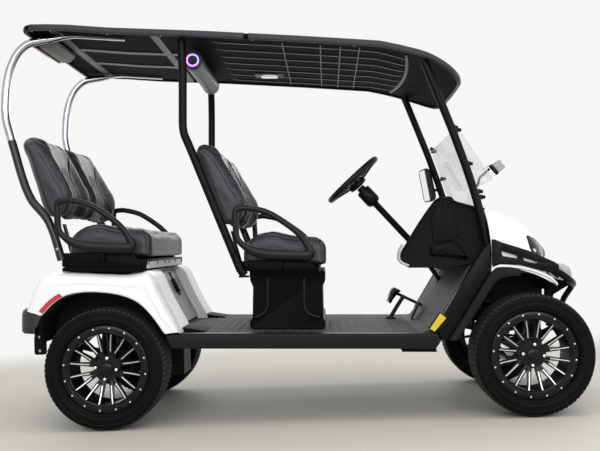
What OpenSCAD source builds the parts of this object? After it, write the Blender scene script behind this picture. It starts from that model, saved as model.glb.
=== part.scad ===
/* [Running gear] */
// Distance between the two axles
wheelbase = 2074; // [2000:1:2150]
// Rear axle's distance behind the origin
rear_axle_back = 950; // [930:1:970]
// Outer diameter of the tyres
tyre_d = 592; // [560:1:600]
// Width of the tyres
tyre_w = 210; // [180:1:215]
// Diameter of the rim's bead seat
rim_d = 356; // [340:1:370]
// Distance between the left and right wheel centres
track = 1000; // [980:1:1010]
// Distance between the two kingpins
kingpin_track = 880; // [870:1:885]
// Length of the steering arms
steer_arm = 95; // [85:1:100]
// Number of spokes in each rim
spokes = 16; // [12:2:18]
/* [Body] */
// Nose-down rake of the body against the ground, in degrees
body_rake = 1.9; // [0:0.1:2.5]
// Height of the floor's walking surface
floor_top = 436; // [430:1:440]
// Width across the white body panels
body_w = 1220; // [1180:2:1230]
// Width between the outer faces of the floor sills
sill_w = 1170; // [1150:2:1180]
// Furthest point of the front bumper ahead of the origin
nose_x = 1442; // [1430:1:1460]
/* [Roof] */
// Width of the roof
roof_w = 1180; // [1100:2:1200]
// Thickness of the roof's edge
roof_t = 28; // [20:1:34]
// Radius of the roof's black front and middle posts
post_r = 19; // [15:1:22]
// Radius of the rear roof struts
strut_r = 20; // [15:1:22]
/* [Seats] */
// Width of a bench seat
seat_w = 1000; // [960:2:1040]
// Rear seat's distance behind the front seat
seat_pitch = 876; // [860:1:890]
// Rear seat's height above the front seat
seat_rise = 38; // [30:1:45]
/* [Steering] */
// Outer diameter of the steering wheel
wheel_d = 381; // [360:1:400]
// Driver's centre line, left of the middle
driver_y = 270; // [250:1:290]
/* [Hidden] */
$fn = 48;

tyre_r = tyre_d / 2;
rear_x = -rear_axle_back;
front_x = wheelbase - rear_axle_back;
half_track = track / 2;
pin_y = kingpin_track / 2;
half_body = body_w / 2;
half_sill = sill_w / 2;
half_roof = roof_w / 2;
half_seat = seat_w / 2;
// wheel centres seen from the raked body
well_rear = [rear_x * cos(body_rake) - tyre_r * sin(body_rake),
             rear_x * sin(body_rake) + tyre_r * cos(body_rake)];
well_front = [front_x * cos(body_rake) - tyre_r * sin(body_rake),
              front_x * sin(body_rake) + tyre_r * cos(body_rake)];
front_arch_r = 365;
rear_arch_r = 356;
rear_arch = [-990, 284];
spindle_r = 20;
spindle_reach = 45;
post_y = 515;
front_post = [[594, post_y, 1767], [731, post_y, 1438], [849, post_y, 1096], [902, post_y + 10, 860]];
strut_y = 475;
bow_r = 1000;
column_tilt = 46.9;
rack_x = front_x - steer_arm + 5.5;
rack_z = tyre_r - 43;

// The body leans nose-down about the origin.
module raked() {
    rotate([0, body_rake, 0]) children();
}
// The children on the left and again on the right.
module pair() {
    children();
    mirror([0, 1, 0]) children();
}
// An outline in the X-Z plane, extruded from y0 to y1.
module slab(outline, y0, y1) {
    rotate([90, 0, 0]) translate([0, 0, -y1]) linear_extrude(y1 - y0) polygon(outline);
}
// An outline in the Y-Z plane, extruded from x0 to x1.
module frame_slice(outline, x0, x1) {
    translate([x0, 0, 0]) rotate([90, 0, 90]) linear_extrude(x1 - x0) polygon(outline);
}
// A round bar from a to b.
module bar(a, b, r) {
    d = b - a;
    translate(a) rotate([0, acos(d[2] / norm(d)), atan2(d[1], d[0])]) cylinder(h = norm(d), r = r);
}
// A round tube through all the points, with ball joints at the bends.
module tube(points, r) {
    for (i = [0 : len(points) - 2]) bar(points[i], points[i + 1], r);
    for (i = [1 : len(points) - 2]) translate(points[i]) sphere(r = r + 0.6);
}
// A box given by its two opposite corners.
module block(low, high) {
    translate(low) cube(high - low);
}
// The point at angle a on the circle of radius r about c.
function arc_point(c, r, a) = [c[0] + r * cos(a), c[1] + r * sin(a)];
// Left and right mirror images of an outline that is given for y >= 0.
function both(half) = concat(half, [for (i = [len(half) - 1 : -1 : 0]) [-half[i][0], half[i][1]]]);

/* ---- frame and running gear ---- */
module chassis_frame() {
    rail = [[-1330, 470], [-840, 470], [-720, 330], [670, 330], [830, 470], [1310, 470],
            [1310, 540], [800, 540], [640, 400], [-700, 400], [-820, 540], [-1330, 540]];
    color("#1b1c1e") raked() {
        pair() slab(rail, 190, 240);
        for (x = [-620, -40, 560]) block([x, -505, 360], [x + 50, 505, 400]);
        for (x = [-1330, -860, 1000, 1150, 1270]) block([x, -190, 480], [x + 40, 190, 530]);
        pair() block([-1275, 240, 390], [-1245, 325, 480]);
        pair() block([-655, 240, 390], [-625, 325, 400]);
    }
}
module side_rails() {
    rail = [[-668, 434], [-640, 364], [640, 364], [664, 400], [650, 434]];
    color("#2f3033") raked() pair() slab(rail, 505, half_sill);
}
module floor_pan() {
    line = [[-678, floor_top], [575, floor_top], [622, floor_top + 12], [652, 486], [818, 762],
            [838, 771], [849, 771], [672, 476], [640, 420], [600, 400], [-678, 400]];
    color("#4a4846") raked() difference() {
        slab(line, -504, 504);
        bar([640, driver_y, 850], [1003, 93, 308], 26);
    }
}
module battery_block() {
    color("#202124") raked() block([-235, -320, floor_top], [70, 320, 672]);
}
module motor_block() {
    color("#303236") block([rear_x + 97, -105, 190], [rear_x + 300, 105, 380]);
}
module rear_axle() {
    color("#26272a") translate([rear_x, 0, tyre_r]) rotate([90, 0, 0]) {
        cylinder(h = 2 * half_track - 170, r = 36, center = true);
        cylinder(h = 150, r = 96, center = true);
        for (s = [-1, 1]) translate([0, 0, s * (half_track - 75)]) cylinder(h = 36, r = 95, center = true);
        cylinder(h = 2 * (half_track + spindle_reach), r = spindle_r, center = true);
    }
}
// One leaf spring: a shallow arc that hangs below its two eyes.
module leaf(x0, x1, z_eye, sag, y0, y1) {
    half = (x1 - x0) / 2;
    r = (half * half + sag * sag) / (2 * sag);
    a = asin(half / r);
    pts = [for (i = [-8 : 8]) [(x0 + x1) / 2 + r * sin(a * i / 8), z_eye - sag + r - r * cos(a * i / 8)]];
    low = [for (i = [8 : -1 : -8])
           [(x0 + x1) / 2 + (r + 18) * sin(a * i / 8), z_eye - sag + r - (r + 18) * cos(a * i / 8)]];
    slab(concat(pts, low), y0, y1);
}
module rear_springs() {
    color("#1d1e20") raked() pair() {
        leaf(-1270, -640, 390, 71, 262, 318);
        bar([well_rear[0] - 50, 215, 300], [well_rear[0] - 90, 215, 464], 22);
    }
}
module front_axle() {
    color("#232427") translate([front_x, 0, tyre_r]) {
        rotate([90, 0, 0]) cylinder(h = 2 * pin_y - 100, r = 28, center = true);
        pair() difference() {
            union() {
                block([-25, pin_y - 56, -74], [25, pin_y - 44, 74]);
                for (z = [-74, 56]) {
                    block([-25, pin_y - 56, z], [25, pin_y, z + 18]);
                    translate([0, pin_y, z]) cylinder(h = 18, r = 25);
                }
            }
            translate([0, pin_y, -80]) cylinder(h = 160, r = 14.05);
        }
    }
}
module front_springs() {
    color("#1d1e20") raked() pair() {
        leaf(870, 1290, 440, 60, 192, 238);
        for (x = [872, 1270]) block([x, 196, 441], [x + 18, 234, 470]);
        bar([well_front[0] + 16, 150, well_front[1] + 34], [well_front[0] + 52, 150, 473], 22);
    }
}
module rack_housing() {
    color("#2b2c2f") difference() {
        union() {
            translate([rack_x, 0, rack_z]) rotate([90, 0, 0]) cylinder(h = 380, r = 24, center = true);
            for (y = [-120, 60]) block([rack_x - 8, y, rack_z], [rack_x + 8, y + 50, tyre_r + 149]);
        }
        translate([rack_x, 0, rack_z]) rotate([90, 0, 0]) cylinder(h = 400, r = 10.05, center = true);
    }
}
module tie_rod() {
    color("#6b6d70") translate([rack_x, 0, rack_z]) {
        rotate([90, 0, 0]) cylinder(h = 2 * pin_y, r = 10, center = true);
        pair() translate([0, pin_y, -8]) cylinder(h = 16, r = 15);
    }
}
// The right knuckle is the left one's mirror image.
module knuckle(side) {
    color("#3a3c40") translate([front_x, side * pin_y, tyre_r]) {
        cylinder(h = 148, r = 14, center = true);
        cylinder(h = 98, r = 25, center = true);
        rotate([side * -90, 0, 0]) {
            translate([0, 0, 27]) cylinder(h = 15, r = 78);
            cylinder(h = half_track - pin_y + spindle_reach, r = spindle_r);
        }
        translate([0, 0, -24]) {
            block([-steer_arm, -11, -6], [0, 11, 6]);
            translate([-steer_arm, 0, -6]) cylinder(h = 12, r = 16);
        }
    }
}

/* ---- wheels ---- */
module tyre(x, side) {
    w = tyre_w / 2;
    bead = rim_d / 2;
    half = [[bead, 0], [bead, 0.69 * w], [bead + 33, 0.69 * w], [bead + 35, 0.9 * w], [bead + 48, w],
            [bead + 66, w], [tyre_r - 24, 0.98 * w], [tyre_r - 9, 0.92 * w], [tyre_r - 3, 0.83 * w],
            [tyre_r, 0.5 * w]];
    section = concat(half, [for (i = [len(half) - 1 : -1 : 1]) [half[i][0], -half[i][1]]]);
    color("#161617") translate([x, side * half_track, tyre_r]) rotate([90, 0, 0])
        rotate_extrude($fn = 96) polygon(section);
}
module rim(x, side) {
    face = 52;
    seat = rim_d / 2 - 0.3;
    barrel = [[seat - 12, -91], [seat + 18, -91], [seat + 18, -78], [seat, -74], [seat, 74],
              [seat + 32, 76], [seat + 32, 90], [seat - 12, 92]];
    color("#101113") translate([x, side * half_track, tyre_r]) rotate([side * -90, 0, 0]) difference() {
        union() {
            rotate_extrude($fn = 96) polygon(barrel);
            translate([0, 0, face - 26]) cylinder(h = 30, r = 62);
            translate([0, 0, face - 40]) cylinder(h = 50, r = 32);
            for (i = [0 : spokes - 1]) rotate([0, 0, i * 360 / spokes])
                block([50, -5, face - 16], [seat - 8, 5, face + 3]);
        }
        translate([0, 0, -80]) cylinder(h = 80 + spindle_reach + 1, r = spindle_r + 0.05);
    }
}

/* ---- white body, bumpers and fenders ---- */
// Rear body's side outline, drawn in by t on every side.
function rear_outline(t) = [
    [-1352 + t, 520], [-1322 + t, 606], [-1292 + t, 688], [-1262 + t, 730 - t], [-813, 726 - t],
    [-775, 740 - t], [-749 - t, 744 - t], [-712 - t, 680], [-669 - t, 590], [-599 - t, 468],
    [-588 - t, 430 - t], [-1352 + t, 430 - t]];
// Rear body's outline seen from behind: upright flanks and rounded shoulders.
function rear_section(t) = both([
    [half_body - t, 400 - t], [half_body - t, 600], [half_body - 14 - t, 660], [half_body - 44 - t, 706],
    [half_body - 90 - t, 734 - t], [half_body - 150, 750 - t]]);
module rear_solid(t) {
    intersection() {
        slab(rear_outline(t), -half_body, half_body);
        frame_slice(rear_section(t), -1400, -500);
    }
}
module rear_body() {
    color("#f2f3f4") raked() difference() {
        rear_solid(0);
        difference() {
            rear_solid(7);
            block([-1400, -half_body, 728], [-500, half_body, 800]);
        }
        block([-1400, -700, 380], [-500, 700, 437]);
        translate([rear_arch[0], 0, rear_arch[1]]) rotate([90, 0, 0])
            cylinder(h = 1400, r = rear_arch_r, center = true, $fn = 96);
        block([-1420, -700, 400], [-1240, 700, 550]);
        block([-835, -310, 437], [-480, 310, 719]);
    }
}
module rear_panel() {
    outline = [[-830, 718], [-806, 718], [-776, 680], [-728, 582], [-662, 476], [-662, 438],
               [-700, 438], [-700, 470], [-760, 560], [-812, 670]];
    color("#8b8b88") raked() slab(outline, -308, 308);
    color("#141414") raked() slab([[-794, 690], [-768, 700], [-710, 575], [-736, 565]], 40, 150);
}
module rear_bumper() {
    outer = [[-1255, 0], [-1255, 604], [-1318, 597], [-1366, 564], [-1392, 500], [-1422, 300], [-1430, 0]];
    inner = [[-1290, 0], [-1290, 566], [-1318, 560], [-1342, 534], [-1362, 486], [-1390, 300], [-1398, 0]];
    color("#38393c") raked() pair() difference() {
        translate([0, 0, 434]) linear_extrude(114) polygon(outer);
        translate([0, 0, 420]) linear_extrude(140) polygon(inner);
        block([-1290, -10, 420], [-1240, 560, 560]);
        translate([rear_arch[0], 0, rear_arch[1]]) rotate([-90, 0, 0])
            cylinder(h = 700, r = rear_arch_r + 1, $fn = 96);
    }
    color("#1b1c1e") raked() pair() {
        block([-1397, 190, 480], [-1330, 240, 530]);
        block([-1356, 240, 480], [-1300, 442, 500]);
    }
    // level bracket with its two bolt holes
    color("#1b1c1e") pair() difference() {
        block([-1340, 430, 360], [-1280, 442, 522]);
        for (z = [380, 450]) translate([-1310, 420, z]) rotate([-90, 0, 0]) cylinder(h = 40, r = 5.5);
    }
}
module red_lamps() {
    color("#b3161b") raked() {
        pair() slab(concat([for (a = [118 : 3 : 133]) arc_point(rear_arch, rear_arch_r + 24, a)],
                           [for (a = [133 : -3 : 118]) arc_point(rear_arch, rear_arch_r + 2, a)]),
                    half_body, half_body + 3);
        pair() slab([[-1340, 560], [-1319, 620], [-1327, 623], [-1348, 563]], 440, 540);
        block([-1384, -430, 1868], [-1352, -110, 1905]);
    }
}
// Front cowl's side outline, drawn in by t on every side.
function hood_outline(t) = [
    [905 + t, 735], [895 + t, 985], [935 + t, 1062 - t], [1000, 1058 - t], [1085 - t, 1018 - t],
    [1165 - t, 968 - t], [1235 - t, 906 - t], [1300 - t, 830], [1350 - t, 770], [1362 - t, 735]];
function hood_section(t) = both([
    [572 - t, 735], [566 - t, 860], [552 - t, 900 - t], [500 - t, 955 - t], [420 - t, 1005 - t],
    [300, 1040 - t], [150, 1058 - t], [0, 1062 - t]]);
module hood_solid(t) {
    intersection() {
        slab(hood_outline(t), -575, 575);
        frame_slice(hood_section(t), 860, 1400);
        translate([nose_x - bow_r - 50, 0, 600]) cylinder(h = 600, r = bow_r - t, $fn = 96);
    }
}
module lamp_region() {
    outline = [[1085, 830], [1140, 800], [1230, 790], [1230, 870], [1180, 905], [1133, 925], [1100, 930]];
    pair() slab(outline, 440, 600);
}
module hood() {
    color("#f2f3f4") raked() difference() {
        hood_solid(0);
        hood_solid(7);
        block([800, -560, 600], [924, 560, 1045]);
        block([800, -576, 600], [911, 576, 893]);
        lamp_region();
    }
}
module headlamps() {
    color("#0d0f12") raked() intersection() {
        difference() {
            hood_solid(0.5);
            hood_solid(7);
        }
        lamp_region();
    }
}
module front_guard() {
    arm = [[911, 888], [925, 888], [1093, 834], [1156, 808], [1222, 782], [1222, 690], [1181, 737],
           [1048, 754], [948, 771], [911, 748]];
    slots = [[[952, 838], [1028, 815], [1035, 801], [965, 813]],
             [[1057, 806], [1112, 789], [1138, 776], [1072, 789]]];
    color("#101113") raked() pair() {
        difference() {
            slab(arm, 576, 592);
            for (s = slots) slab(s, 560, 600);
        }
        tube([[1222, 584, 740], [1262, 576, 716], [1350, 470, 672], [1372, 400, 664]], 17);
        tube([[1350, 470, 672], [1318, 400, 590], [1290, 262, 545]], 15);
        block([1262, 240, 530], [1302, 275, 560]);
    }
    color("#101113") raked() pair() slab([[1190, 775], [1222, 782], [1240, 745], [1240, 700], [1190, 715]],
                                         576, 592);
}
module front_bumper() {
    color("#6d6e70") raked() difference() {
        translate([nose_x - bow_r, 0, 655]) cylinder(h = 100, r = bow_r, $fn = 128);
        translate([nose_x - bow_r, 0, 640]) cylinder(h = 130, r = bow_r - 42, $fn = 128);
        block([-600, -1100, 600], [1250, 1100, 800]);
        pair() block([0, 430, 600], [1500, 1100, 800]);
        pair() tube([[1262, 576, 716], [1350, 470, 672], [1372, 400, 664]], 18);
    }
    color("#1b1c1e") raked() pair() block([1311, 190, 480], [1335, 240, 654]);
    color("#1b1c1e") raked() pair() block([1335, 190, 600], [1402, 240, 654]);
}
// A wheel-well lining about the centre c, from y0 to y1, above the cut height.
module well_lining(c, r, y0, y1, cut) {
    difference() {
        translate([c[0], 0, c[1]]) rotate([90, 0, 0]) {
            translate([0, 0, -y1]) difference() {
                cylinder(h = y1 - y0, r = r, $fn = 96);
                translate([0, 0, -1]) cylinder(h = y1 - y0 - 3, r = r - 4, $fn = 96);
            }
        }
        block([c[0] - 500, 0, -200], [c[0] + 500, 700, cut]);
    }
}
module fender_liners() {
    flare = [[946, 748], [903, 727], [851, 646], [776, 524], [700, 410], [757, 410], [832, 524],
             [887, 631], [950, 690], [1046, 722], [1046, 745]];
    color("#131415") raked() pair() {
        well_lining(rear_arch, rear_arch_r - 1, 352, half_body - 8, 476);
        difference() {
            well_lining(well_front, front_arch_r, 262, 572, 500);
            block([1225, 200, 400], [1600, 700, 900]);
        }
        slab(flare, 576, 598);
    }
}

/* ---- dash, glass and mirrors ---- */
module dash() {
    cheek = [[684, 1114], [760, 1082], [826, 1064], [888, 1046], [888, 772], [838, 772], [688, 742],
             [640, 752], [520, 752], [487, 772], [469, 805], [489, 846], [640, 1078]];
    // the dash stands back from the right cheek to make room for the driver
    centre = [for (p = cheek) p[0] < 720 ? [p[0] + 0.38 * (720 - p[0]), p[1]] : p];
    color("#18191b") raked() difference() {
        union() {
            slab(centre, -440, 478);
            slab(cheek, -478, -430);
        }
        bar([260, driver_y, 1258], [700, driver_y, 789], 26);
        bar([640, driver_y, 850], [1003, 93, 308], 26);
    }
}
module windshield() {
    color([0.85, 0.9, 0.92, 0.35]) raked() {
        slab([[752, 1446], [756, 1448], [894, 1049], [890, 1047]], -470, 470);
        slab([[764, 1458], [768, 1460], [948, 1188], [944, 1186]], -470, 470);
    }
}
module mirrors() {
    color("#1b1c1e") raked() {
        difference() {
            bar([752, 530, 1205], [815, 515, 1205], 8);
            tube(front_post, post_r + 0.2);
        }
        slab([[697, 1345], [735, 1345], [774, 1128], [736, 1128]], 478, 610);
        bar([886, 0, 1296], [1000, 0, 1300], 8);
        slab([[985, 1335], [1000, 1342], [1072, 1250], [1058, 1242]], -150, 150);
    }
}

/* ---- roof and posts ---- */
module roof_posts() {
    foot = [[703, 408], [776, 524], [851, 646], [903, 727], [909, 732], [909, 888], [865, 838],
            [820, 768], [655, 488], [654, 440], [668, 408]];
    middle = [[-600, post_y, 1884], [-599, post_y, 1445], [-563, post_y, 1351], [-312, post_y, 742],
              [-285, post_y, 718]];
    color("#151618") raked() pair() {
        tube(front_post, post_r);
        tube(middle, post_r);
        slab(foot, post_y + 15, 574);
    }
}
module rear_struts() {
    run = [[-930, strut_y, 1880], [-1330, strut_y, 1894], [-1392, strut_y, 1876],
           [-1440, strut_y, 1828], [-1478, strut_y, 1745], [-1496, strut_y, 1650],
           [-1498, strut_y, 1510], [-1257, strut_y, 890], [-1222, strut_y, 800]];
    color("#cfd2d6") raked() pair() tube(run, strut_r);
}
// Roof's centre line along its length, from the rear edge to the front lip.
function roof_line(dz) = [
    [-1382, 1936 + dz], [-1340, 1944 + dz], [-1191, 1944 + dz], [-945, 1930 + dz], [-505, 1910 + dz],
    [-16, 1885 + dz], [374, 1860 + dz], [519, 1832 + dz], [640, 1795 + dz], [800, 1735 + dz]];
module roof() {
    top = roof_line(0);
    low = roof_line(-roof_t);
    nose = [for (i = [1 : 10]) [560 + 240 * sin(9 * i), 330 + (half_roof - 330) * cos(9 * i)]];
    plan = concat([[-1385, 0], [-1385, half_roof - 60], [-1372, half_roof - 22], [-1335, half_roof],
                   [560, half_roof]], nose, [[805, 0]]);
    color("#2b2c2f") raked() intersection() {
        slab(concat(top, [for (i = [len(low) - 1 : -1 : 0]) low[i]]), -half_roof, half_roof);
        translate([0, 0, 1600]) pair() linear_extrude(500) polygon(plan);
    }
}
module sound_bar() {
    color("#3c3d42") raked() {
        translate([-579, 0, 1820]) rotate([90, 0, 0]) cylinder(h = 700, r = 50, center = true);
        pair() block([-594, 200, 1860], [-564, 230, 1884]);
    }
}

/* ---- seats ---- */
// Moves the front seat's pieces to the rear seat's place.
module rear_place() {
    translate([-seat_pitch, 0, seat_rise]) children();
}
module cushion() {
    outline = [[-318, 760], [-322, 860], [-296, 894], [-240, 912], [60, 902], [108, 896], [126, 872],
               [130, 790], [112, 760]];
    slab(outline, 10 - half_seat, half_seat - 10);
}
module backrest() {
    outline = [[-548, 1356], [-545, 1372], [-524, 1382], [-490, 1378], [-450, 1350], [-400, 1270],
               [-300, 1140], [-262, 1060], [-262, 1000], [-300, 955], [-345, 942], [-395, 950]];
    pair() slab(outline, 8, half_seat - 8);
}
module seat_pedestal() {
    profile = [[-277, floor_top], [-277, 476], [-264, 496], [-262, 653], [-277, 686], [-281, 735],
               [104, 735], [106, 686], [92, 653], [95, 496], [106, 476], [106, floor_top]];
    color("#121314") raked() {
        difference() {
            slab(profile, -375, 375);
            block([-255, -365, 400], [86, 365, 727]);
        }
        slab([[-322, 735], [-322, 759], [60, 759], [84, 735]], -495, 495);
        pair() slab([[-380, 935], [-372, 935], [-318, 745], [-318, 735], [-330, 735]], 280, 320);
    }
}
module rear_seat_base() {
    color("#121314") raked() {
        difference() {
            slab([[-1200, 731], [-1200, 797], [-772, 797], [-772, 772], [-806, 731]], -495, 495);
            pair() bar([-1257, strut_y, 890], [-1215, strut_y, 782], strut_r + 0.8);
        }
        pair() slab([[-1256, 973], [-1248, 973], [-1194, 797], [-1206, 797]], 280, 320);
    }
}
module cushions() {
    color("#3b3b40") raked() {
        cushion();
        rear_place() cushion();
    }
}
module backrests() {
    color("#3b3b40") raked() {
        backrest();
        rear_place() backrest();
    }
}
module arm_loop() {
    outer = [[-349, 1020], [-336, 1052], [-305, 1062], [-240, 1059], [-150, 1034], [-54, 978], [5, 912],
             [48, 842], [58, 806], [44, 788], [-145, 792], [-237, 804], [-318, 848], [-345, 884]];
    inner = [[-318, 1010], [-308, 1030], [-245, 1030], [-160, 1006], [-75, 954], [-20, 894], [12, 842],
             [4, 824], [-140, 824], [-225, 836], [-296, 872], [-316, 900]];
    difference() {
        slab(outer, 522, 556);
        slab(inner, 500, 600);
    }
    block([-140, 495, 740], [-100, 522, 812]);
}
module armrests() {
    color("#1a1b1d") raked() pair() {
        arm_loop();
        rear_place() arm_loop();
    }
}

/* ---- controls ---- */
// Places the children on the steering axis, with +Z up along the column.
module on_column() {
    translate([267, driver_y, 1251]) rotate([0, column_tilt - 90, 0]) children();
}
module steering_column() {
    color("#151618") raked() {
        on_column() {
            translate([0, 0, -548]) cylinder(h = 493, r = 24);
            translate([0, 0, -190]) cylinder(h = 110, r = 44);
        }
        bar([640, driver_y, 850], [1003, 93, 308], 12);
    }
}
module steering_wheel() {
    color("#17181a") raked() on_column() {
        rotate_extrude($fn = 96) translate([wheel_d / 2 - 15, 0]) circle(r = 15);
        translate([0, 0, -48]) cylinder(h = 44, r = 52);
        for (a = [20, 160, 270]) rotate([0, 0, a]) block([40, -14, -22], [wheel_d / 2 - 16, 14, -10]);
    }
}
module pedals() {
    color("#141516") raked() {
        slab([[455, 437], [470, 452], [516, 440], [516, 437]], driver_y - 30, driver_y + 30);
        bar([492, driver_y, 442], [560, driver_y, 560], 9);
        bar([500, driver_y, 590], [668, driver_y, 520], 8);
        slab([[470, 620], [540, 600], [536, 585], [466, 605]], driver_y - 45, driver_y + 45);
        slab([[600, 445], [648, 540], [638, 546], [592, 452]], driver_y - 130, driver_y - 70);
    }
}

chassis_frame();
side_rails();
floor_pan();
battery_block();
motor_block();
rear_axle();
rear_springs();
front_axle();
front_springs();
rack_housing();
tie_rod();
knuckle(1);  // knuckle_left
knuckle(-1);  // knuckle_right
tyre(front_x, 1);  // tyre_front_left
tyre(front_x, -1);  // tyre_front_right
tyre(rear_x, 1);  // tyre_rear_left
tyre(rear_x, -1);  // tyre_rear_right
rim(front_x, 1);  // rim_front_left
rim(front_x, -1);  // rim_front_right
rim(rear_x, 1);  // rim_rear_left
rim(rear_x, -1);  // rim_rear_right
rear_body();
rear_panel();
rear_bumper();
red_lamps();
hood();
front_guard();
front_bumper();
headlamps();
fender_liners();
dash();
windshield();
mirrors();
roof_posts();
rear_struts();
roof();
sound_bar();
seat_pedestal();
rear_seat_base();
cushions();
backrests();
armrests();
steering_column();
steering_wheel();
pedals();
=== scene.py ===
"""A four-seat golf cart: finishes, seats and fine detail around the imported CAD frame.

Shapes are drawn in millimetres. The cart's body is drawn level and then leaned nose-down by RAKE,
as the CAD body is; wheels and axles are drawn level. X is forward, Y is left, Z is up.
"""
import math

import bmesh
import bpy
from mathutils import Matrix, Vector
from mathutils.bvhtree import BVHTree
from mathutils.kdtree import KDTree


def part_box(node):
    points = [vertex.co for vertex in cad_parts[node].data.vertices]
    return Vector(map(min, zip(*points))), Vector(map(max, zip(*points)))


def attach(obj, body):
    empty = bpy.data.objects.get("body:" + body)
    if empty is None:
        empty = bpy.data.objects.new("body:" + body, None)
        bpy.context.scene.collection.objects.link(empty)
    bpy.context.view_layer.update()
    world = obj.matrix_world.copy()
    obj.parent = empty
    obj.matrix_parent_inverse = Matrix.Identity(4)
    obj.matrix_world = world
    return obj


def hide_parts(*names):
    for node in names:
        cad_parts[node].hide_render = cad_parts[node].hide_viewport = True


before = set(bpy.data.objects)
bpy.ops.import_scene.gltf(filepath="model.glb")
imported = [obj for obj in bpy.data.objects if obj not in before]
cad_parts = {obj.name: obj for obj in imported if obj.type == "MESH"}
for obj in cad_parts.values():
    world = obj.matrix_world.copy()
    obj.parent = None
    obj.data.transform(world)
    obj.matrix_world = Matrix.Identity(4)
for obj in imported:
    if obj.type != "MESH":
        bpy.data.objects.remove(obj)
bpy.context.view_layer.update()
scene = bpy.context.scene

MM = 0.001
RAKE = math.radians(1.9)
LEAN = Matrix.Rotation(RAKE, 4, "Y")
LEVEL = Matrix.Identity(4)


def placed(name, data):
    """A new object in the scene that shows the data."""
    obj = bpy.data.objects.new(name, data)
    scene.collection.objects.link(obj)
    return obj


def middle(node):
    """The middle of a CAD node's box, in millimetres."""
    low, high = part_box(node)
    return (low + high) / 2 / MM


HUB = {key: middle("tyre_" + key) for key in ("front_left", "front_right", "rear_left", "rear_right")}


# ---------------------------------------------------------------- camera, light and floor
YAW, PITCH, ROLL = 0.0077, 0.0265, -0.03364
LENS_MM, SENSOR_MM, SHIFT = 49.46, 36, -20 / 600
VIEWPOINT = (0.1433, -4.5737, 0.8505)


def look():
    """The photograph's viewpoint: beside the cart below the seats, almost square on."""
    ahead = Vector((-math.sin(YAW) * math.cos(PITCH), math.cos(YAW) * math.cos(PITCH), math.sin(PITCH)))
    side = Vector((math.cos(YAW), math.sin(YAW), 0))
    up = side.cross(ahead)
    right = side * math.cos(ROLL) + up * math.sin(ROLL)
    up = up * math.cos(ROLL) - side * math.sin(ROLL)
    data = bpy.data.cameras.new("camera")
    data.lens, data.sensor_width, data.shift_x = LENS_MM, SENSOR_MM, SHIFT
    camera = placed("camera", data)
    turn = Matrix((right, up, -ahead)).transposed().to_4x4()
    camera.matrix_world = Matrix.Translation(VIEWPOINT) @ turn
    scene.camera = camera


BACKDROP = (0.93, 0.93, 0.918, 1)


def node(tree, kind, inputs=None, **settings):
    """A new shader node with its settings and the values of its inputs."""
    made = tree.nodes.new("ShaderNode" + kind)
    for name, value in settings.items():
        setattr(made, name, value)
    for name, value in (inputs or {}).items():
        made.inputs[name].default_value = value
    return made


def background_rays(tree):
    """1 for the rays that see the background itself: camera, mirror and glass rays."""
    rays = node(tree, "LightPath")
    first, second = (node(tree, "Math", operation="MAXIMUM") for _ in range(2))
    tree.links.new(rays.outputs["Is Camera Ray"], first.inputs[0])
    tree.links.new(rays.outputs["Is Glossy Ray"], first.inputs[1])
    tree.links.new(first.outputs[0], second.inputs[0])
    tree.links.new(rays.outputs["Is Transmission Ray"], second.inputs[1])
    return second.outputs[0]


def mix_shaders(tree, factor, first, second, output):
    """Shows the first shader where factor is 0 and the second where it is 1."""
    mix = node(tree, "MixShader")
    for i, source in enumerate((factor, first.outputs[0], second.outputs[0])):
        tree.links.new(source, mix.inputs[i])
    tree.links.new(mix.outputs[0], node(tree, output).inputs[0])


def make_world():
    world = bpy.data.worlds.new("studio")
    scene.world = world
    world.use_nodes = True
    tree = world.node_tree
    tree.nodes.clear()
    fill = node(tree, "Background", {"Color": (0.93, 0.96, 1.0, 1), "Strength": 0.60})
    seen = node(tree, "Background", {"Color": BACKDROP})
    mix_shaders(tree, background_rays(tree), fill, seen, "OutputWorld")


def make_floor():
    """A pale floor that fades into the backdrop away from the cart."""
    data = bpy.data.meshes.new("floor")
    data.from_pydata([(-9, -9, 0), (9, -9, 0), (9, 9, 0), (-9, 9, 0)], [], [(0, 1, 2, 3)])
    floor = placed("floor", data)
    material = bpy.data.materials.new("floor")
    material.use_nodes = True
    tree = material.node_tree
    tree.nodes.clear()
    matt = node(tree, "BsdfPrincipled", {"Base Color": (0.55, 0.525, 0.46, 1), "Roughness": 0.62})
    glow = node(tree, "Emission", {"Color": BACKDROP})
    where = node(tree, "TexCoord")
    squash = node(tree, "Mapping", {"Scale": (0.30, 0.42, 1)})
    length = node(tree, "VectorMath", operation="LENGTH")
    fade = node(tree, "MapRange", {"From Min": 0.85, "From Max": 1.5}, interpolation_type="SMOOTHSTEP")
    tree.links.new(where.outputs["Object"], squash.inputs["Vector"])
    tree.links.new(squash.outputs[0], length.inputs[0])
    tree.links.new(length.outputs["Value"], fade.inputs["Value"])
    mix_shaders(tree, fade.outputs[0], matt, glow, "OutputMaterial")
    data.materials.append(material)


def soft_lamp(name, place, target, size, power):
    data = bpy.data.lights.new(name, "AREA")
    data.shape = "RECTANGLE"
    data.size, data.size_y = size
    data.energy = power
    lamp = placed(name, data)
    lamp.location = place
    lamp.rotation_euler = (Vector(target) - Vector(place)).to_track_quat("-Z", "Y").to_euler()


look()
scene.view_settings.view_transform = "Standard"
make_world()
make_floor()
soft_lamp("overhead", (0.2, -0.4, 4.6), (0, 0, 0.6), (6.0, 4.0), 150)
soft_lamp("near_side", (0.2, -5.0, 2.4), (0, 0, 0.5), (6.0, 2.4), 145)
soft_lamp("front_quarter", (4.4, -2.4, 2.2), (0.4, 0, 0.7), (2.0, 2.4), 32)
soft_lamp("far_side", (-0.6, 4.6, 3.0), (0, 0, 0.6), (5.0, 2.0), 55)


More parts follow.
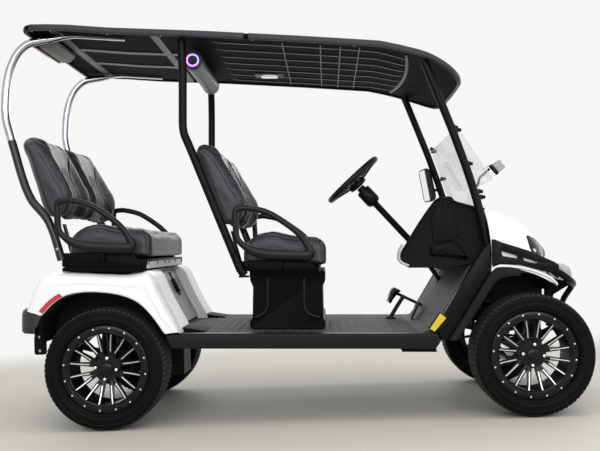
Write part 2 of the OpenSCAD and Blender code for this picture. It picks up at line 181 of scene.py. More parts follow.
# ---------------------------------------------------------------- finishes
def spread(tree, source, low, high):
    """source, from 0 to 1, spread between low and high."""
    made = node(tree, "MapRange", {"To Min": low, "To Max": high})
    tree.links.new(source, made.inputs["Value"])
    return made.outputs[0]


def finish(name, colour, rough, *, metal=0.0, coat=0.0, mottle=0.08, mottle_scale=5.0, grain=0.0,
           grain_scale=700.0, grain_kind="noise", rough_spread=0.06, specular=0.3):
    """A procedural finish: uneven colour and gloss at hand scale, and a fine grain in the normal."""
    material = bpy.data.materials.new(name)
    material.use_nodes = True
    tree = material.node_tree
    shader = tree.nodes["Principled BSDF"]
    for key, value in {"Metallic": metal, "Coat Weight": coat, "Coat Roughness": 0.04,
                       "Specular IOR Level": specular}.items():
        shader.inputs[key].default_value = value
    where = node(tree, "TexCoord").outputs["Object"]
    cloud = node(tree, "TexNoise", {"Scale": mottle_scale, "Detail": 6, "Roughness": 0.6})
    tint = node(tree, "Mix", data_type="RGBA")
    tint.inputs["A"].default_value = [c * (1 - mottle) for c in colour] + [1]
    tint.inputs["B"].default_value = [min(1, c * (1 + mottle)) for c in colour] + [1]
    tree.links.new(where, cloud.inputs["Vector"])
    tree.links.new(spread(tree, cloud.outputs["Fac"], -0.3, 1.3), tint.inputs["Factor"])
    tree.links.new(tint.outputs["Result"], shader.inputs["Base Color"])
    smear = node(tree, "TexNoise", {"Scale": mottle_scale * 3.1, "Detail": 4})
    tree.links.new(where, smear.inputs["Vector"])
    tree.links.new(spread(tree, smear.outputs["Fac"], rough - rough_spread, rough + rough_spread),
                   shader.inputs["Roughness"])
    if grain:
        if grain_kind == "pebble":
            fine = node(tree, "TexVoronoi", {"Scale": grain_scale}, feature="F1")
        else:
            fine = node(tree, "TexNoise", {"Scale": grain_scale, "Detail": 3})
        bump = node(tree, "Bump", {"Strength": grain, "Distance": 0.001})
        tree.links.new(where, fine.inputs["Vector"])
        tree.links.new(fine.outputs["Distance" if grain_kind == "pebble" else "Fac"], bump.inputs["Height"])
        tree.links.new(bump.outputs[0], shader.inputs["Normal"])
    return material


def clear_finish(name, colour, rough):
    """Clear acrylic: thin, so that light passes straight through."""
    material = finish(name, colour, rough, mottle=0.02, rough_spread=0.02)
    material.node_tree.nodes["Principled BSDF"].inputs["Alpha"].default_value = 0.22
    return material


def glow_finish(name, colours, strength):
    """A lit ring whose colour runs through the list along the cart."""
    material = finish(name, colours[0], 0.3)
    tree = material.node_tree
    where, split = node(tree, "TexCoord"), node(tree, "SeparateXYZ")
    place = node(tree, "MapRange", {"From Min": -0.565, "From Max": -0.510})
    ramp = node(tree, "ValToRGB")
    for i, colour in enumerate(colours):
        if i > 1:
            ramp.color_ramp.elements.new(i / (len(colours) - 1))
        ramp.color_ramp.elements[i].position = i / (len(colours) - 1)
        ramp.color_ramp.elements[i].color = (*colour, 1)
    shader = tree.nodes["Principled BSDF"]
    tree.links.new(where.outputs["Object"], split.inputs[0])
    tree.links.new(split.outputs["X"], place.inputs["Value"])
    tree.links.new(place.outputs[0], ramp.inputs["Fac"])
    tree.links.new(ramp.outputs["Color"], shader.inputs["Emission Color"])
    shader.inputs["Emission Strength"].default_value = strength
    return material


FINISHES = {
    # name: (material, the record's slot)
    "white": (finish("white_gloss", (0.80, 0.81, 0.82), 0.22, coat=0.6, mottle=0.015), "white_body"),
    "frame": (finish("frame_black", (0.0035, 0.0035, 0.004), 0.42, specular=0.08,
                     grain=0.15), "frame_paint"),
    "sill": (finish("sill_charcoal", (0.009, 0.009, 0.0105), 0.40, specular=0.12, grain=0.1,
                    mottle=0.1), "sill_paint"),
    "mat": (finish("floor_mat", (0.052, 0.049, 0.043), 0.62, grain=0.35, mottle=0.22), "floor_mat"),
    "block": (finish("block_black", (0.008, 0.008, 0.009), 0.6, specular=0.14, grain=0.2), "inner_block"),
    "motor": (finish("motor_grey", (0.008, 0.008, 0.009), 0.5, specular=0.12, grain=0.3), "motor_paint"),
    "axle": (finish("axle_black", (0.006, 0.006, 0.007), 0.45, specular=0.14, grain=0.2,
                    mottle=0.2), "axle_paint"),
    "spring": (finish("spring_black", (0.008, 0.008, 0.009), 0.5, specular=0.14, grain=0.2,
                      mottle=0.25), "spring_steel"),
    "rack": (finish("rack_cast", (0.06, 0.06, 0.062), 0.6, metal=0.5, grain=0.4), "rack_paint"),
    "rod": (finish("rod_zinc", (0.40, 0.40, 0.42), 0.35, metal=1.0, mottle=0.15), "rod_steel"),
    "knuckle": (finish("knuckle_iron", (0.09, 0.09, 0.1), 0.6, metal=0.6, grain=0.4), "knuckle_iron"),
    "tyre": (finish("tyre_rubber", (0.003, 0.003, 0.0033), 0.5, specular=0.07, grain=0.25,
                    grain_scale=500, mottle=0.2, mottle_scale=9), "tyre"),
    "tread": (finish("tyre_tread", (0.016, 0.0155, 0.015), 0.72, grain=0.5, grain_scale=350, mottle=0.3,
                     mottle_scale=14), "tyre"),
    "rim": (finish("rim_black", (0.003, 0.003, 0.0035), 0.22, specular=0.14, coat=0.15,
                   mottle=0.1), "rim_black"),
    "machined": (finish("rim_machined", (0.66, 0.66, 0.68), 0.26, metal=1.0, mottle=0.06), "rim_black"),
    "bolt": (finish("bolt_zinc", (0.70, 0.70, 0.72), 0.25, metal=1.0, mottle=0.1), "rim_black"),
    # grey_panel: the recessed panel is white body; its grey colour is painted shade of the recess under the
    # seat.
    "grey_panel": (finish("grey_panel", (0.34, 0.34, 0.33), 0.40, grain=0.2), "grey_panel"),
    "bumper": (finish("bumper_charcoal", (0.02, 0.02, 0.022), 0.46, grain=0.35), "bumper_plastic"),
    "red": (finish("red_lens", (0.52, 0.015, 0.02), 0.2, coat=0.7, mottle=0.1), "red_lens"),
    "guard": (finish("guard_black", (0.003, 0.003, 0.0035), 0.30, specular=0.1, mottle=0.1), "gloss_black"),
    "bumper_grey": (finish("bumper_grey", (0.34, 0.34, 0.345), 0.42, grain=0.3), "bumper_grey"),
    "lens": (finish("lamp_lens", (0.008, 0.009, 0.011), 0.10, specular=0.2, coat=0.25), "lamp_lens"),
    # lamp_silver: a real silver finish on the dome light; on the headlamps it makes the painted glint
    # patches.
    "lamp_silver": (finish("lamp_silver_and_glint", (0.8, 0.82, 0.85), 0.12, metal=1.0), "lamp_lens"),
    "liner": (finish("liner_black", (0.006, 0.006, 0.006), 0.62, specular=0.14, grain=0.4,
                     mottle=0.2), "liner_plastic"),
    "dash": (finish("dash_black", (0.003, 0.003, 0.0034), 0.40, specular=0.08, grain=0.45,
                    grain_scale=900, grain_kind="pebble"), "dash_plastic"),
    "dash_grey": (finish("dash_trim", (0.42, 0.42, 0.40), 0.5, grain=0.3), "dash_plastic"),
    "strip": (finish("seat_strip", (0.62, 0.62, 0.60), 0.4, grain=0.15), "base_plastic"),
    "clear": (clear_finish("clear_pane", (0.9, 0.94, 0.95), 0.05), "clear_pane"),
    "mirror_body": (finish("mirror_body", (0.01, 0.01, 0.011), 0.45, grain=0.3), "mirror_body"),
    "mirror_shell": (finish("mirror_shell", (0.33, 0.33, 0.35), 0.35, grain=0.15), "mirror_body"),
    "mirror": (finish("mirror_glass", (0.86, 0.88, 0.9), 0.03, metal=1.0, mottle=0.01,
                      rough_spread=0.01), "mirror_body"),
    "post": (finish("post_black", (0.002, 0.002, 0.0025), 0.34, specular=0.1, grain=0.12), "post_paint"),
    # chrome: the darker, bluish grey and the strong mottle are painted reflections, dark and light streaks
    # standing in for what the tube mirrors; the metal finish itself is real.
    "chrome": (finish("strut_chrome", (0.46, 0.46, 0.50), 0.16, metal=1.0, mottle=0.35,
                      mottle_scale=7), "strut_chrome"),
    "strut_black": (finish("strut_black", (0.006, 0.006, 0.007), 0.3, coat=0.2), "strut_chrome"),
    "roof": (finish("roof_charcoal", (0.0035, 0.0035, 0.004), 0.6, specular=0.02,
                    grain=0.25), "roof_plastic"),
    "roof_edge": (finish("roof_edge", (0.03, 0.031, 0.034), 0.42, specular=0.2, grain=0.2), "roof_plastic"),
    # roof_rib_painted_highlight: the ribs are moulded in the roof's own plastic; their lighter colour is a
    # painted highlight on the ridges, beside a real rise in gloss.
    "roof_rib_painted_highlight": (finish("roof_rib_painted_highlight", (0.012, 0.012, 0.012), 0.34, specular=0.25,
                        grain=0.15), "roof_plastic"),
    "housing": (finish("housing_grey", (0.11, 0.10, 0.09), 0.4, grain=0.25), "roof_plastic"),
    "speaker": (finish("speaker_grey", (0.085, 0.085, 0.1), 0.4, grain=0.2), "speaker_body"),
    "speaker_dark": (finish("speaker_dark", (0.012, 0.012, 0.016), 0.35), "speaker_body"),
    "ring_light": (glow_finish("ring_light", [(0.9, 0.12, 0.75), (0.35, 0.2, 1.0), (0.15, 0.25, 0.9)],
                               2.2), "speaker_body"),
    "base": (finish("base_black", (0.001, 0.001, 0.0012), 0.4, specular=0.06, grain=0.2,
                    mottle=0.15), "base_plastic"),
    "vinyl": (finish("seat_vinyl", (0.024, 0.024, 0.031), 0.38, grain=0.35, grain_scale=620,
                     grain_kind="pebble", mottle=0.1, specular=0.4), "seat_vinyl"),
    "thread": (finish("seat_thread", (0.055, 0.055, 0.065), 0.7), "seat_vinyl"),
    "arm": (finish("arm_black", (0.003, 0.003, 0.0035), 0.30, specular=0.2, grain=0.15), "arm_plastic"),
    "column": (finish("column_black", (0.006, 0.006, 0.007), 0.4, specular=0.14,
                      grain=0.15), "column_paint"),
    "grip": (finish("wheel_grip", (0.008, 0.008, 0.009), 0.5, grain=0.1, grain_scale=800,
                    grain_kind="pebble"), "wheel_grip"),
    "pedal": (finish("pedal_black", (0.008, 0.008, 0.009), 0.5, grain=0.3), "pedal_paint"),
    "yellow": (finish("label_yellow", (0.62, 0.44, 0.012), 0.45, mottle=0.06), "floor_mat"),
}
NODE_FINISH = {
    "chassis_frame": "frame", "side_rails": "sill", "floor_pan": "mat", "battery_block": "block",
    "motor_block": "motor", "rear_axle": "axle", "rear_springs": "spring", "front_axle": "axle",
    "front_springs": "spring", "rack_housing": "rack", "tie_rod": "rod", "knuckle_left": "knuckle",
    "knuckle_right": "knuckle", "rear_body": "white", "rear_panel": "grey_panel",
    "rear_bumper": "bumper", "red_lamps": "red", "hood": "white", "front_guard": "guard",
    "front_bumper": "bumper_grey", "headlamps": "lens", "fender_liners": "liner", "dash": "dash",
    "windshield": "clear", "mirrors": "mirror_body", "roof_posts": "post", "rear_struts": "chrome",
    "roof": "roof", "sound_bar": "speaker", "seat_pedestal": "base", "rear_seat_base": "base",
    "cushions": "vinyl", "backrests": "vinyl", "armrests": "arm", "steering_column": "column",
    "steering_wheel": "grip", "pedals": "pedal",
    **{"tyre_" + key: "tyre" for key in HUB}, **{"rim_" + key: "rim" for key in HUB},
}
for cad_node, kind in NODE_FINISH.items():
    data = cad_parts[cad_node].data
    data.materials.clear()
    data.materials.append(FINISHES[kind][0])


# ---------------------------------------------------------------- shaping tools
def circle(count):
    """The angles of count points round a circle."""
    return [2 * math.pi * k / count for k in range(count)]


def around(radius, angle, height):
    """A point of a wheel drawn about the Y axis."""
    return radius * math.cos(angle), height, radius * math.sin(angle)


def eased(start, corner, end, steps):
    """A smooth curve from start to end that bends towards the corner between them."""
    return [start * (1 - t) ** 2 + corner * 2 * t * (1 - t) + end * t * t
            for t in (k / steps for k in range(steps + 1))]


def fillet(outline, radius, steps=4):
    """The closed outline with every corner rounded."""
    out = []
    for i, here in enumerate(outline):
        here = Vector(here)
        back = Vector(outline[i - 1]) - here
        on = Vector(outline[(i + 1) % len(outline)]) - here
        if back.length < 1e-6 or on.length < 1e-6:
            continue
        corner = back.angle(on)
        if corner > math.radians(172):
            out.append(tuple(here))
            continue
        reach = min(radius / math.tan(corner / 2), 0.45 * back.length, 0.45 * on.length)
        out += [tuple(p) for p in eased(here + back.normalized() * reach, here,
                                        here + on.normalized() * reach, steps)]
    return out


def between(a, b, c, d, t):
    """The point at t from b to c on the smooth line through a, b, c and d (Catmull-Rom)."""
    return 0.5 * (2 * b + (c - a) * t + (2 * a - 5 * b + 4 * c - d) * t * t
                  + (3 * b - a - 3 * c + d) * t ** 3)


def curve_through(points, steps=6, closed=False):
    """A smooth line through all the points."""
    pts = [Vector(p) for p in points]
    count = len(pts)
    out = []
    for i in range(count if closed else count - 1):
        if closed:
            a, b, c, d = (pts[(i + k) % count] for k in (-1, 0, 1, 2))
        else:
            b, c = pts[i], pts[i + 1]
            a = pts[i - 1] if i else b * 2 - c
            d = pts[i + 2] if i + 2 < count else c * 2 - b
        out += [between(a, b, c, d, k / steps) for k in range(steps)]
    if not closed:
        out.append(pts[-1])
    return out


def along(points, count):
    """count points spaced evenly along the open line through points."""
    pts = [Vector(p) for p in points]
    marks = [0]
    for a, b in zip(pts, pts[1:]):
        marks.append(marks[-1] + (b - a).length)
    out, i = [], 0
    for k in range(count):
        want = marks[-1] * k / (count - 1)
        while i < len(pts) - 2 and marks[i + 1] < want:
            i += 1
        span = marks[i + 1] - marks[i] or 1
        out.append(pts[i].lerp(pts[i + 1], min(1, (want - marks[i]) / span)))
    return out


def heading(line, i):
    """The direction of an open line at its point i."""
    return (Vector(line[min(i + 1, len(line) - 1)]) - Vector(line[max(i - 1, 0)])).normalized()


def inset(outline, d):
    """The closed 2-D outline drawn in by d on every side."""
    area = sum(a[0] * b[1] - b[0] * a[1] for a, b in zip(outline, outline[1:] + outline[:1]))
    side = 1 if area > 0 else -1
    out = []
    for i, here in enumerate(outline):
        a, b, c = Vector(outline[i - 1]), Vector(here), Vector(outline[(i + 1) % len(outline)])
        first, second = (b - a).normalized(), (c - b).normalized()
        n1, n2 = Vector((-first.y, first.x)) * side, Vector((-second.y, second.x)) * side
        half = n1 + n2
        half = half.normalized() if half.length > 1e-6 else n1
        out.append(b + half * (d / max(0.35, half.dot(n1))))
    return out


class Build:
    """Solids gathered in millimetres, to be made into one piece."""

    def __init__(self):
        self.points, self.faces = [], []

    def add(self, points, faces):
        first = len(self.points)
        self.points += [Vector(p) for p in points]
        self.faces += [[first + i for i in face] for face in faces]
        return self

    def loft(self, rings, caps=True, closed=True):
        """Skins rings of equal length; each ring is a closed loop unless closed is False."""
        n = len(rings[0])
        points = [p for ring in rings for p in ring]
        faces = []
        for r in range(len(rings) - 1):
            for i in range(n if closed else n - 1):
                j = (i + 1) % n
                faces.append([r * n + i, r * n + j, (r + 1) * n + j, (r + 1) * n + i])
        if caps:
            faces.append(list(range(n))[::-1])
            faces.append([(len(rings) - 1) * n + i for i in range(n)])
        return self.add(points, faces)

    def prism(self, outline, low, high, soft=2.0, plane="XZ"):
        """An outline drawn in a plane and extruded from low to high, its edges rounded by soft."""
        outline = [tuple(p) for p in outline]
        put = {"XZ": lambda p, h: (p[0], h, p[1]), "YZ": lambda p, h: (h, p[0], p[1]),
               "XY": lambda p, h: (p[0], p[1], h)}[plane]
        soft = min(soft, (high - low) / 2.01)
        steps = 3 if soft > 1 else 1
        rings = []
        for start, way in ((low, 1), (high, -1)):
            for k in range(steps + 1)[::way]:
                turn = math.pi / 2 * k / steps
                ring = inset(outline, soft * (1 - math.sin(turn)))
                rings.append([put(p, start + way * soft * (1 - math.cos(turn))) for p in ring])
        return self.loft(rings)

    def slab(self, outline, corner, low, high, soft=2.0):
        """A prism whose outline in the X-Z plane also has its corners rounded."""
        return self.prism(fillet(outline, corner), low, high, soft)

    def box(self, low, high, corner=4.0, soft=2.0, plane="XZ"):
        """A box with rounded edges, between two opposite corners."""
        a, b, h = {"XZ": (0, 2, 1), "YZ": (1, 2, 0), "XY": (0, 1, 2)}[plane]
        outline = [(low[a], low[b]), (high[a], low[b]), (high[a], high[b]), (low[a], high[b])]
        return self.prism(fillet(outline, corner, 3), low[h], high[h], soft, plane)

    def lathe(self, profile, centre, axis="Y", steps=48, caps=True):
        """A profile of (radius, height) pairs turned about an axis through centre."""
        rings = []
        for angle in circle(steps):
            c, s = math.cos(angle), math.sin(angle)
            turned = {"Y": lambda r, h: (r * c, h, r * s), "Z": lambda r, h: (r * c, r * s, h),
                      "X": lambda r, h: (h, r * c, r * s)}[axis]
            rings.append([Vector(turned(r, h)) + Vector(centre) for r, h in profile])
        n = len(profile)
        points = [p for ring in rings for p in ring]
        faces = []
        for r in range(steps):
            s = (r + 1) % steps
            faces += [[r * n + i, r * n + i + 1, s * n + i + 1, s * n + i] for i in range(n - 1)]
        if caps:
            faces.append([r * n for r in range(steps)])
            faces.append([r * n + n - 1 for r in range(steps)][::-1])
        return self.add(points, faces)

    def tube(self, path, radius, sides=16):
        """A round bar swept along a path."""
        path = [Vector(p) for p in path]
        shape = [(radius * math.cos(a), radius * math.sin(a)) for a in circle(sides)]
        rings, across = [], None
        for i, here in enumerate(path):
            ahead = heading(path, i)
            if across is None:
                guide = Vector((0, 1, 0)) if abs(ahead.y) < 0.9 else Vector((0, 0, 1))
                across = (guide - ahead * guide.dot(ahead)).normalized()
            across = (across - ahead * across.dot(ahead)).normalized()
            up = ahead.cross(across)
            rings.append([here + across * a + up * b for a, b in shape])
        return self.loft(rings)

    def bolt(self, place, direction, radius=6.0, height=5.0, sides=12):
        """A domed bolt head standing on place."""
        turn = Vector((0, 0, 1)).rotation_difference(Vector(direction)).to_matrix()
        head = Build().lathe([(radius, 0), (radius, height * 0.55), (radius * 0.8, height * 0.9),
                              (radius * 0.35, height)], (0, 0, 0), "Z", sides)
        return self.add([turn @ p + Vector(place) for p in head.points], head.faces)

    def put(self, other, matrix=LEVEL):
        """Adds a moved copy of another build."""
        return self.add([matrix @ p for p in other.points], other.faces)

    def both(self):
        """Adds a mirror image of everything so far on the other side of the cart."""
        points = [Vector((p.x, -p.y, p.z)) for p in self.points]
        return self.add(points, [face[::-1] for face in self.faces])


def mesh_of(name, build, matrix, weld, dissolve):
    """The build as a mesh in metres, with points closer than weld joined and its faces turned out."""
    data = bpy.data.meshes.new(name)
    data.from_pydata([matrix @ (p * MM) for p in build.points], [], build.faces)
    work = bmesh.new()
    work.from_mesh(data)
    bmesh.ops.remove_doubles(work, verts=work.verts, dist=weld)
    if dissolve:
        bmesh.ops.dissolve_degenerate(work, edges=work.edges, dist=weld)
    bmesh.ops.recalc_face_normals(work, faces=work.faces)
    work.to_mesh(data)
    work.free()
    return data


def piece(name, build, kind, stands_for=(), body="chassis", lean=True, sharp=38):
    """Makes the build into a piece that rides on a body and wears a finish."""
    data = mesh_of(name, build, LEAN if lean else LEVEL, 0.00002, True)
    data.shade_smooth()
    data.set_sharp_from_angle(angle=math.radians(sharp))
    obj = placed(name, data)
    material, slot = FINISHES[kind]
    data.materials.append(material)
    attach(obj, body)
    if stands_for:
        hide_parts(*stands_for)
    return obj


# ---------------------------------------------------------------- wheels
RIM_LIP, LIP_FACE, BARREL = 211, 89, 171    # radius and face height of the lip, inner radius
HUB_FACE, DISH = 48, 32                      # face height of the spokes at the hub, and its rise
HUB_R = 52
BOLT_CIRCLE, LUG_CIRCLE = 199, 51
PITCHES = 72                                 # tread blocks round the tyre
SPOKES = 16


def wheel_place(key):
    """From a left wheel drawn about the origin, its outer face towards +Y, to its place."""
    turn = LEVEL if key.endswith("left") else Matrix.Rotation(math.pi, 4, "Z")
    return Matrix.Translation(HUB[key]) @ turn


def sidewalls():
    half = [(184, 70), (202, 72), (209, 78), (213, 88), (216, 94), (221, 98), (223, 101), (227, 101.5),
            (229, 100), (234, 101.5), (238, 103.4), (243, 104), (249, 103.6), (252, 102.6), (259, 103),
            (266, 102.4), (268, 103.4), (271, 103.2), (273, 101.8), (280, 99.6), (285, 96.5)]
    return Build().lathe([(r, h) for r, h in half] + [(r, -h) for r, h in half[::-1]], (0, 0, 0), "Y", 120,
                         caps=False)


def tread():
    """Rows of blocks: each row is (height across the tyre, radius, groove depth, cut depth)."""
    rows = [(96.5, 285, 0, 3.5), (94, 288.4, 0, 5), (88, 291.8, 0, 6.5), (80, 293.8, 0, 7),
            (70, 294.8, 0, 7), (54, 295.4, 0, 7), (53, 295.4, 7, 7), (46, 295.6, 7, 7),
            (45, 295.6, 0, 3.5), (34, 295.8, 0, 3.5), (21, 295.9, 0, 3.5), (20, 295.9, 7, 7),
            (13, 296, 7, 7), (12, 296, 0, 2)]
    rows = rows + [(-h, r, g, c) for h, r, g, c in rows[::-1]]
    steps = [(0.0, 0), (0.04, 1), (0.20, 1), (0.24, 0), (0.62, 0)]
    rings = []
    for pitch in range(PITCHES):
        for t, cut in steps:
            ring = []
            for h, r, groove, depth in rows:
                shear = 0.55 * abs(h) / 94 + (0.5 if h < 0 else 0)
                angle = 2 * math.pi * (pitch + t + shear) / PITCHES
                radius = r - max(groove, depth * cut)
                ring.append(around(radius, angle, h))
            rings.append(ring)
    return Build().loft(rings + rings[:1], caps=False, closed=False)


def spoke_face(r):
    """Height of the spokes' face at radius r: the wheel is dished."""
    return HUB_FACE + DISH * ((r - HUB_R) / (BARREL - HUB_R)) ** 1.2


def spoke_lines():
    """Centre lines of the spokes, in pairs that lean together at the hub."""
    lines = []
    for k in range(SPOKES):
        tip = 2 * math.pi * (k + 0.5) / SPOKES
        lean_in = math.radians(6.5 if k % 2 == 0 else -6.5)
        lines.append([(BARREL + 1 - (BARREL - 55) * u, tip + lean_in * u ** 2.4)
                      for u in (i / 8 for i in range(9))])
    return lines


def ribbon(line, width, drop, rise):
    """A bar that follows a spoke line: width across, from drop below the face to rise above it."""
    rings = []
    for i, (r, angle) in enumerate(line):
        h = spoke_face(r)
        w = (width[0] + (width[1] - width[0]) * i / (len(line) - 1)) / 2 / r
        deep = drop[0] + (drop[1] - drop[0]) * i / (len(line) - 1)
        edge = 0.3 * w
        loop = [(angle - w, h - deep), (angle - w, h + rise - 1), (angle - w + edge, h + rise),
                (angle + w - edge, h + rise), (angle + w, h + rise - 1), (angle + w, h - deep)]
        rings.append([around(r, a, y) for a, y in loop])
    return Build().loft(rings)


def lug_places():
    return [around(LUG_CIRCLE, math.pi / 2 * (k + 0.08), 0) for k in range(4)]


def rim_body():
    build = Build()
    lip = [(BARREL, -90), (202, -90), (202, -80), (185, -76), (183, -70), (183, 70), (187, 75),
           (207, 77), (RIM_LIP, 82), (RIM_LIP, 87), (RIM_LIP - 4, LIP_FACE), (190, LIP_FACE),
           (187, LIP_FACE - 2), (184, LIP_FACE - 2), (181, LIP_FACE), (176, LIP_FACE - 1),
           (BARREL, LIP_FACE - 7), (BARREL, -90)]
    build.lathe(lip, (0, 0, 0), "Y", 96, caps=False)
    build.lathe([(21, 4), (58, 4), (60, 24), (66, 40), (65, 46), (60, 50), (42, 51), (34, 52), (21, 52)],
                (0, 0, 0), "Y", 64, caps=False)
    build.lathe([(0.5, 66), (12, 65.6), (22, 64), (29, 60), (31, 55), (31, 46), (0.5, 46)],
                (0, 0, 0), "Y", 40)
    for line in spoke_lines():
        build.put(ribbon(line, (12, 22), (20, 34), 0))
    for place in lug_places():
        build.lathe([(13, 34), (13, 53), (11, 55), (0.5, 55)], place, "Y", 20)
    return build


def rim_machined():
    """The bright cut faces along the outer part of the spokes."""
    build = Build()
    for line in spoke_lines():
        build.put(ribbon(line[:7], (5.5, 6.5), (0.5, 0.5), 1.2))
    return build


def rim_bolts():
    build = Build()
    for k in range(SPOKES):
        angle = 2 * math.pi * (k + 0.35) / SPOKES
        build.bolt(around(BOLT_CIRCLE, angle, LIP_FACE - 0.5), (0, 1, 0), 5.2, 4.5)
    for place in lug_places():
        build.lathe([(9.5, 54), (9.5, 66), (7.5, 70), (3, 72), (0.5, 72.3)], place, "Y", 6)
    return build


def wheels():
    walls, blocks, body, bright, bolts = sidewalls(), tread(), rim_body(), rim_machined(), rim_bolts()
    for key in HUB:
        place = wheel_place(key)
        for name, shape, kind, stands_for in (
                ("sidewalls", walls, "tyre", ["tyre_" + key]), ("tread", blocks, "tread", ()),
                ("rim_body", body, "rim", ["rim_" + key]), ("spoke_faces", bright, "machined", ()),
                ("wheel_bolts", bolts, "bolt", ())):
            piece(name + "_" + key, Build().put(shape, place), kind, stands_for, "wheel_" + key, False, 32)


wheels()


# ---------------------------------------------------------------- rear body
# Stations round the flank from the bumper to the floor: edge of the wheel arch, start of the
# shoulder, and the outer surface behind it.
FLANK = [((-1262, 525), (-1312, 540), (-1350, 548)), ((-1249, 538), (-1300, 580), (-1337, 583)),
         ((-1210, 580), (-1278, 640), (-1310, 652)), ((-1166, 611), (-1245, 690), (-1272, 718)),
         ((-1120, 628), (-1180, 694), (-1215, 731)), ((-1045, 638), (-1060, 692), (-1070, 726)),
         ((-950, 634), (-950, 688), (-950, 721)), ((-880, 622), (-865, 684), (-860, 720)),
         ((-835, 607), (-806, 688), (-798, 730)), ((-805, 592), (-765, 694), (-762, 740)),
         ((-780, 574), (-741, 676), (-727, 712)), ((-752, 548), (-725, 626), (-699, 652)),
         ((-725, 517), (-705, 574), (-668, 588)), ((-702, 486), (-678, 522), (-637, 530)),
         ((-684, 460), (-640, 480), (-608, 480)), ((-668, 438), (-604, 446), (-590, 438))]
FLANK_Y, PANEL_Y = 606, 310
FIRST_FRONT = 9     # the first row of FLANK that lies on the front edge
STATION_STEPS = 5


def flank_stations():
    return list(zip(*(curve_through([row[k] for row in FLANK], STATION_STEPS) for k in range(3))))


def rear_shell():
    """The white body: both flanks round the wheel arches, and the skin between them."""
    build = Build()
    sections = []
    for edge, start, outer in flank_stations():
        out = (start - edge).normalized()
        section = [(edge + out * 5, -560), (edge + out * 1, -592), (edge, -602), (edge + out * 3, -608),
                   (edge + out * 9, -610)]
        for u in (0.3, 0.5, 0.7, 0.9):
            point = edge + out * 9 + (start - edge - out * 9) * u
            section.append((point, -610 + 5 * math.sin(math.pi * u)))
        for k in range(9):
            turn = math.pi / 2 * k / 8
            section.append((start + (outer - start) * math.sin(turn), -FLANK_Y + 84 * (1 - math.cos(turn))))
        section += [(outer, -430), (outer, -PANEL_Y - 6), (outer, -PANEL_Y)]
        sections.append([(p.x, y, p.y) for p, y in section])
    build.loft(sections, caps=False, closed=False)
    # the walls of the recess behind the front edge
    front = flank_stations()[FIRST_FRONT * STATION_STEPS:]
    walls = [[(t.x, -PANEL_Y, t.y), (t.x - 62, -PANEL_Y + 3, t.y - 6)] for _, _, t in front]
    build.loft(walls, caps=False, closed=False)
    build.both()
    # the middle of the back and top, between the two flanks
    back = [s[2] for s in flank_stations()][:FIRST_FRONT * STATION_STEPS + 1]
    build.loft([[(t.x, y, t.y) for y in (-PANEL_Y, 0, PANEL_Y)] for t in back], caps=False, closed=False)
    lip = back[-1]
    build.loft([[(lip.x, y, lip.y) for y in (-PANEL_Y, PANEL_Y)],
                [(lip.x - 45, y, lip.y - 20) for y in (-PANEL_Y, PANEL_Y)]], caps=False, closed=False)
    return build


def reflector():
    rings = []
    for edge, start, _ in flank_stations()[4:17]:
        out = (start - edge).normalized()
        ring = [(edge + out * 3, 607), (edge + out * 3, 611), (edge + out * 6, 613), (edge + out * 21, 613),
                (edge + out * 24, 611), (edge + out * 24, 607)]
        rings.append([(p.x, -y, p.y) for p, y in ring])
    return Build().loft(rings).both()


def rear_bumper():
    """A bar swept round the tail, its ends cut back along the wheel arch."""
    plan = curve_through([(-1250, -602), (-1292, -603), (-1330, -592), (-1364, -564), (-1388, -510),
                          (-1406, -420), (-1424, -240), (-1430, 0)], 5)
    profile = [(-28, 440), (-6, 436), (0, 444), (1, 470), (1, 524), (-3, 542), (-12, 550), (-30, 552)]
    rings = []
    for i, here in enumerate(plan):
        ahead = heading(plan, i)
        out = Vector((-ahead.y, ahead.x))
        fade = max(0, 1 - i / 5)
        ring = []
        for depth, z in profile:
            p = here + out * depth
            ring.append((p.x - (552 - z) * 0.45 * fade, p.y, z))
        rings.append(ring)
    build = Build().loft(rings).both()
    for low, high in (((-1398, -240, 482), (-1330, -190, 528)), ((-1356, -442, 480), (-1300, -240, 500))):
        build.box(low, high, 6, 3)
    for y in (-225, 215):
        build.box((-1404, y, 482), (-1330, y + 10, 528), 5, 2)
    return build


def hitch_brackets():
    """The two level brackets below the bumper, each with two bolts."""
    plates, bolts = Build(), Build()
    plates.slab([(-1340, 360), (-1280, 360), (-1280, 530), (-1330, 530), (-1340, 440)], 14,
                -442, -430, 1.5)
    plates.slab([(-1332, 470), (-1272, 470), (-1272, 500), (-1332, 500)], 5, -430, -250, 2)
    for z in (380, 450):
        bolts.bolt((-1310, -442, z), (0, -1, 0), 8.5, 7, 6)
    piece("hitch_brackets", plates.both(), "frame", ["rear_bumper"], lean=False)
    piece("hitch_bolts", bolts.both(), "rod", lean=False)


def rear_panel():
    """The recessed panel under the rear seat, with its latch; the panel is white body, coloured grey as
    painted shade.
    """
    front = [(t.x - 52, t.y - 2) for _, _, t in flank_stations()[FIRST_FRONT * STATION_STEPS::4]]
    outline = [(-836, 722)] + front + [(-660, 436), (-700, 436)]
    panel = Build().prism(outline, -PANEL_Y - 2, PANEL_Y + 2, 3)
    latch = Build()
    latch.slab([(-800, 704), (-776, 716), (-744, 650), (-770, 640)], 6, 88, 122, 4)
    latch.slab([(-778, 668), (-744, 682), (-708, 610), (-744, 596)], 7, 50, 150, 4)
    latch.slab([(-748, 606), (-722, 612), (-712, 584), (-736, 574)], 4, 80, 128, 3)
    return panel, latch


def rear_lamps():
    build = Build()
    build.slab([(-1346, 562), (-1325, 620), (-1310, 622), (-1330, 560)], 5, -530, -440, 5)
    build.both()
    build.slab([(-1383, 1870), (-1364, 1868), (-1364, 1908), (-1380, 1908)], 5, -428, -112, 5)
    return build


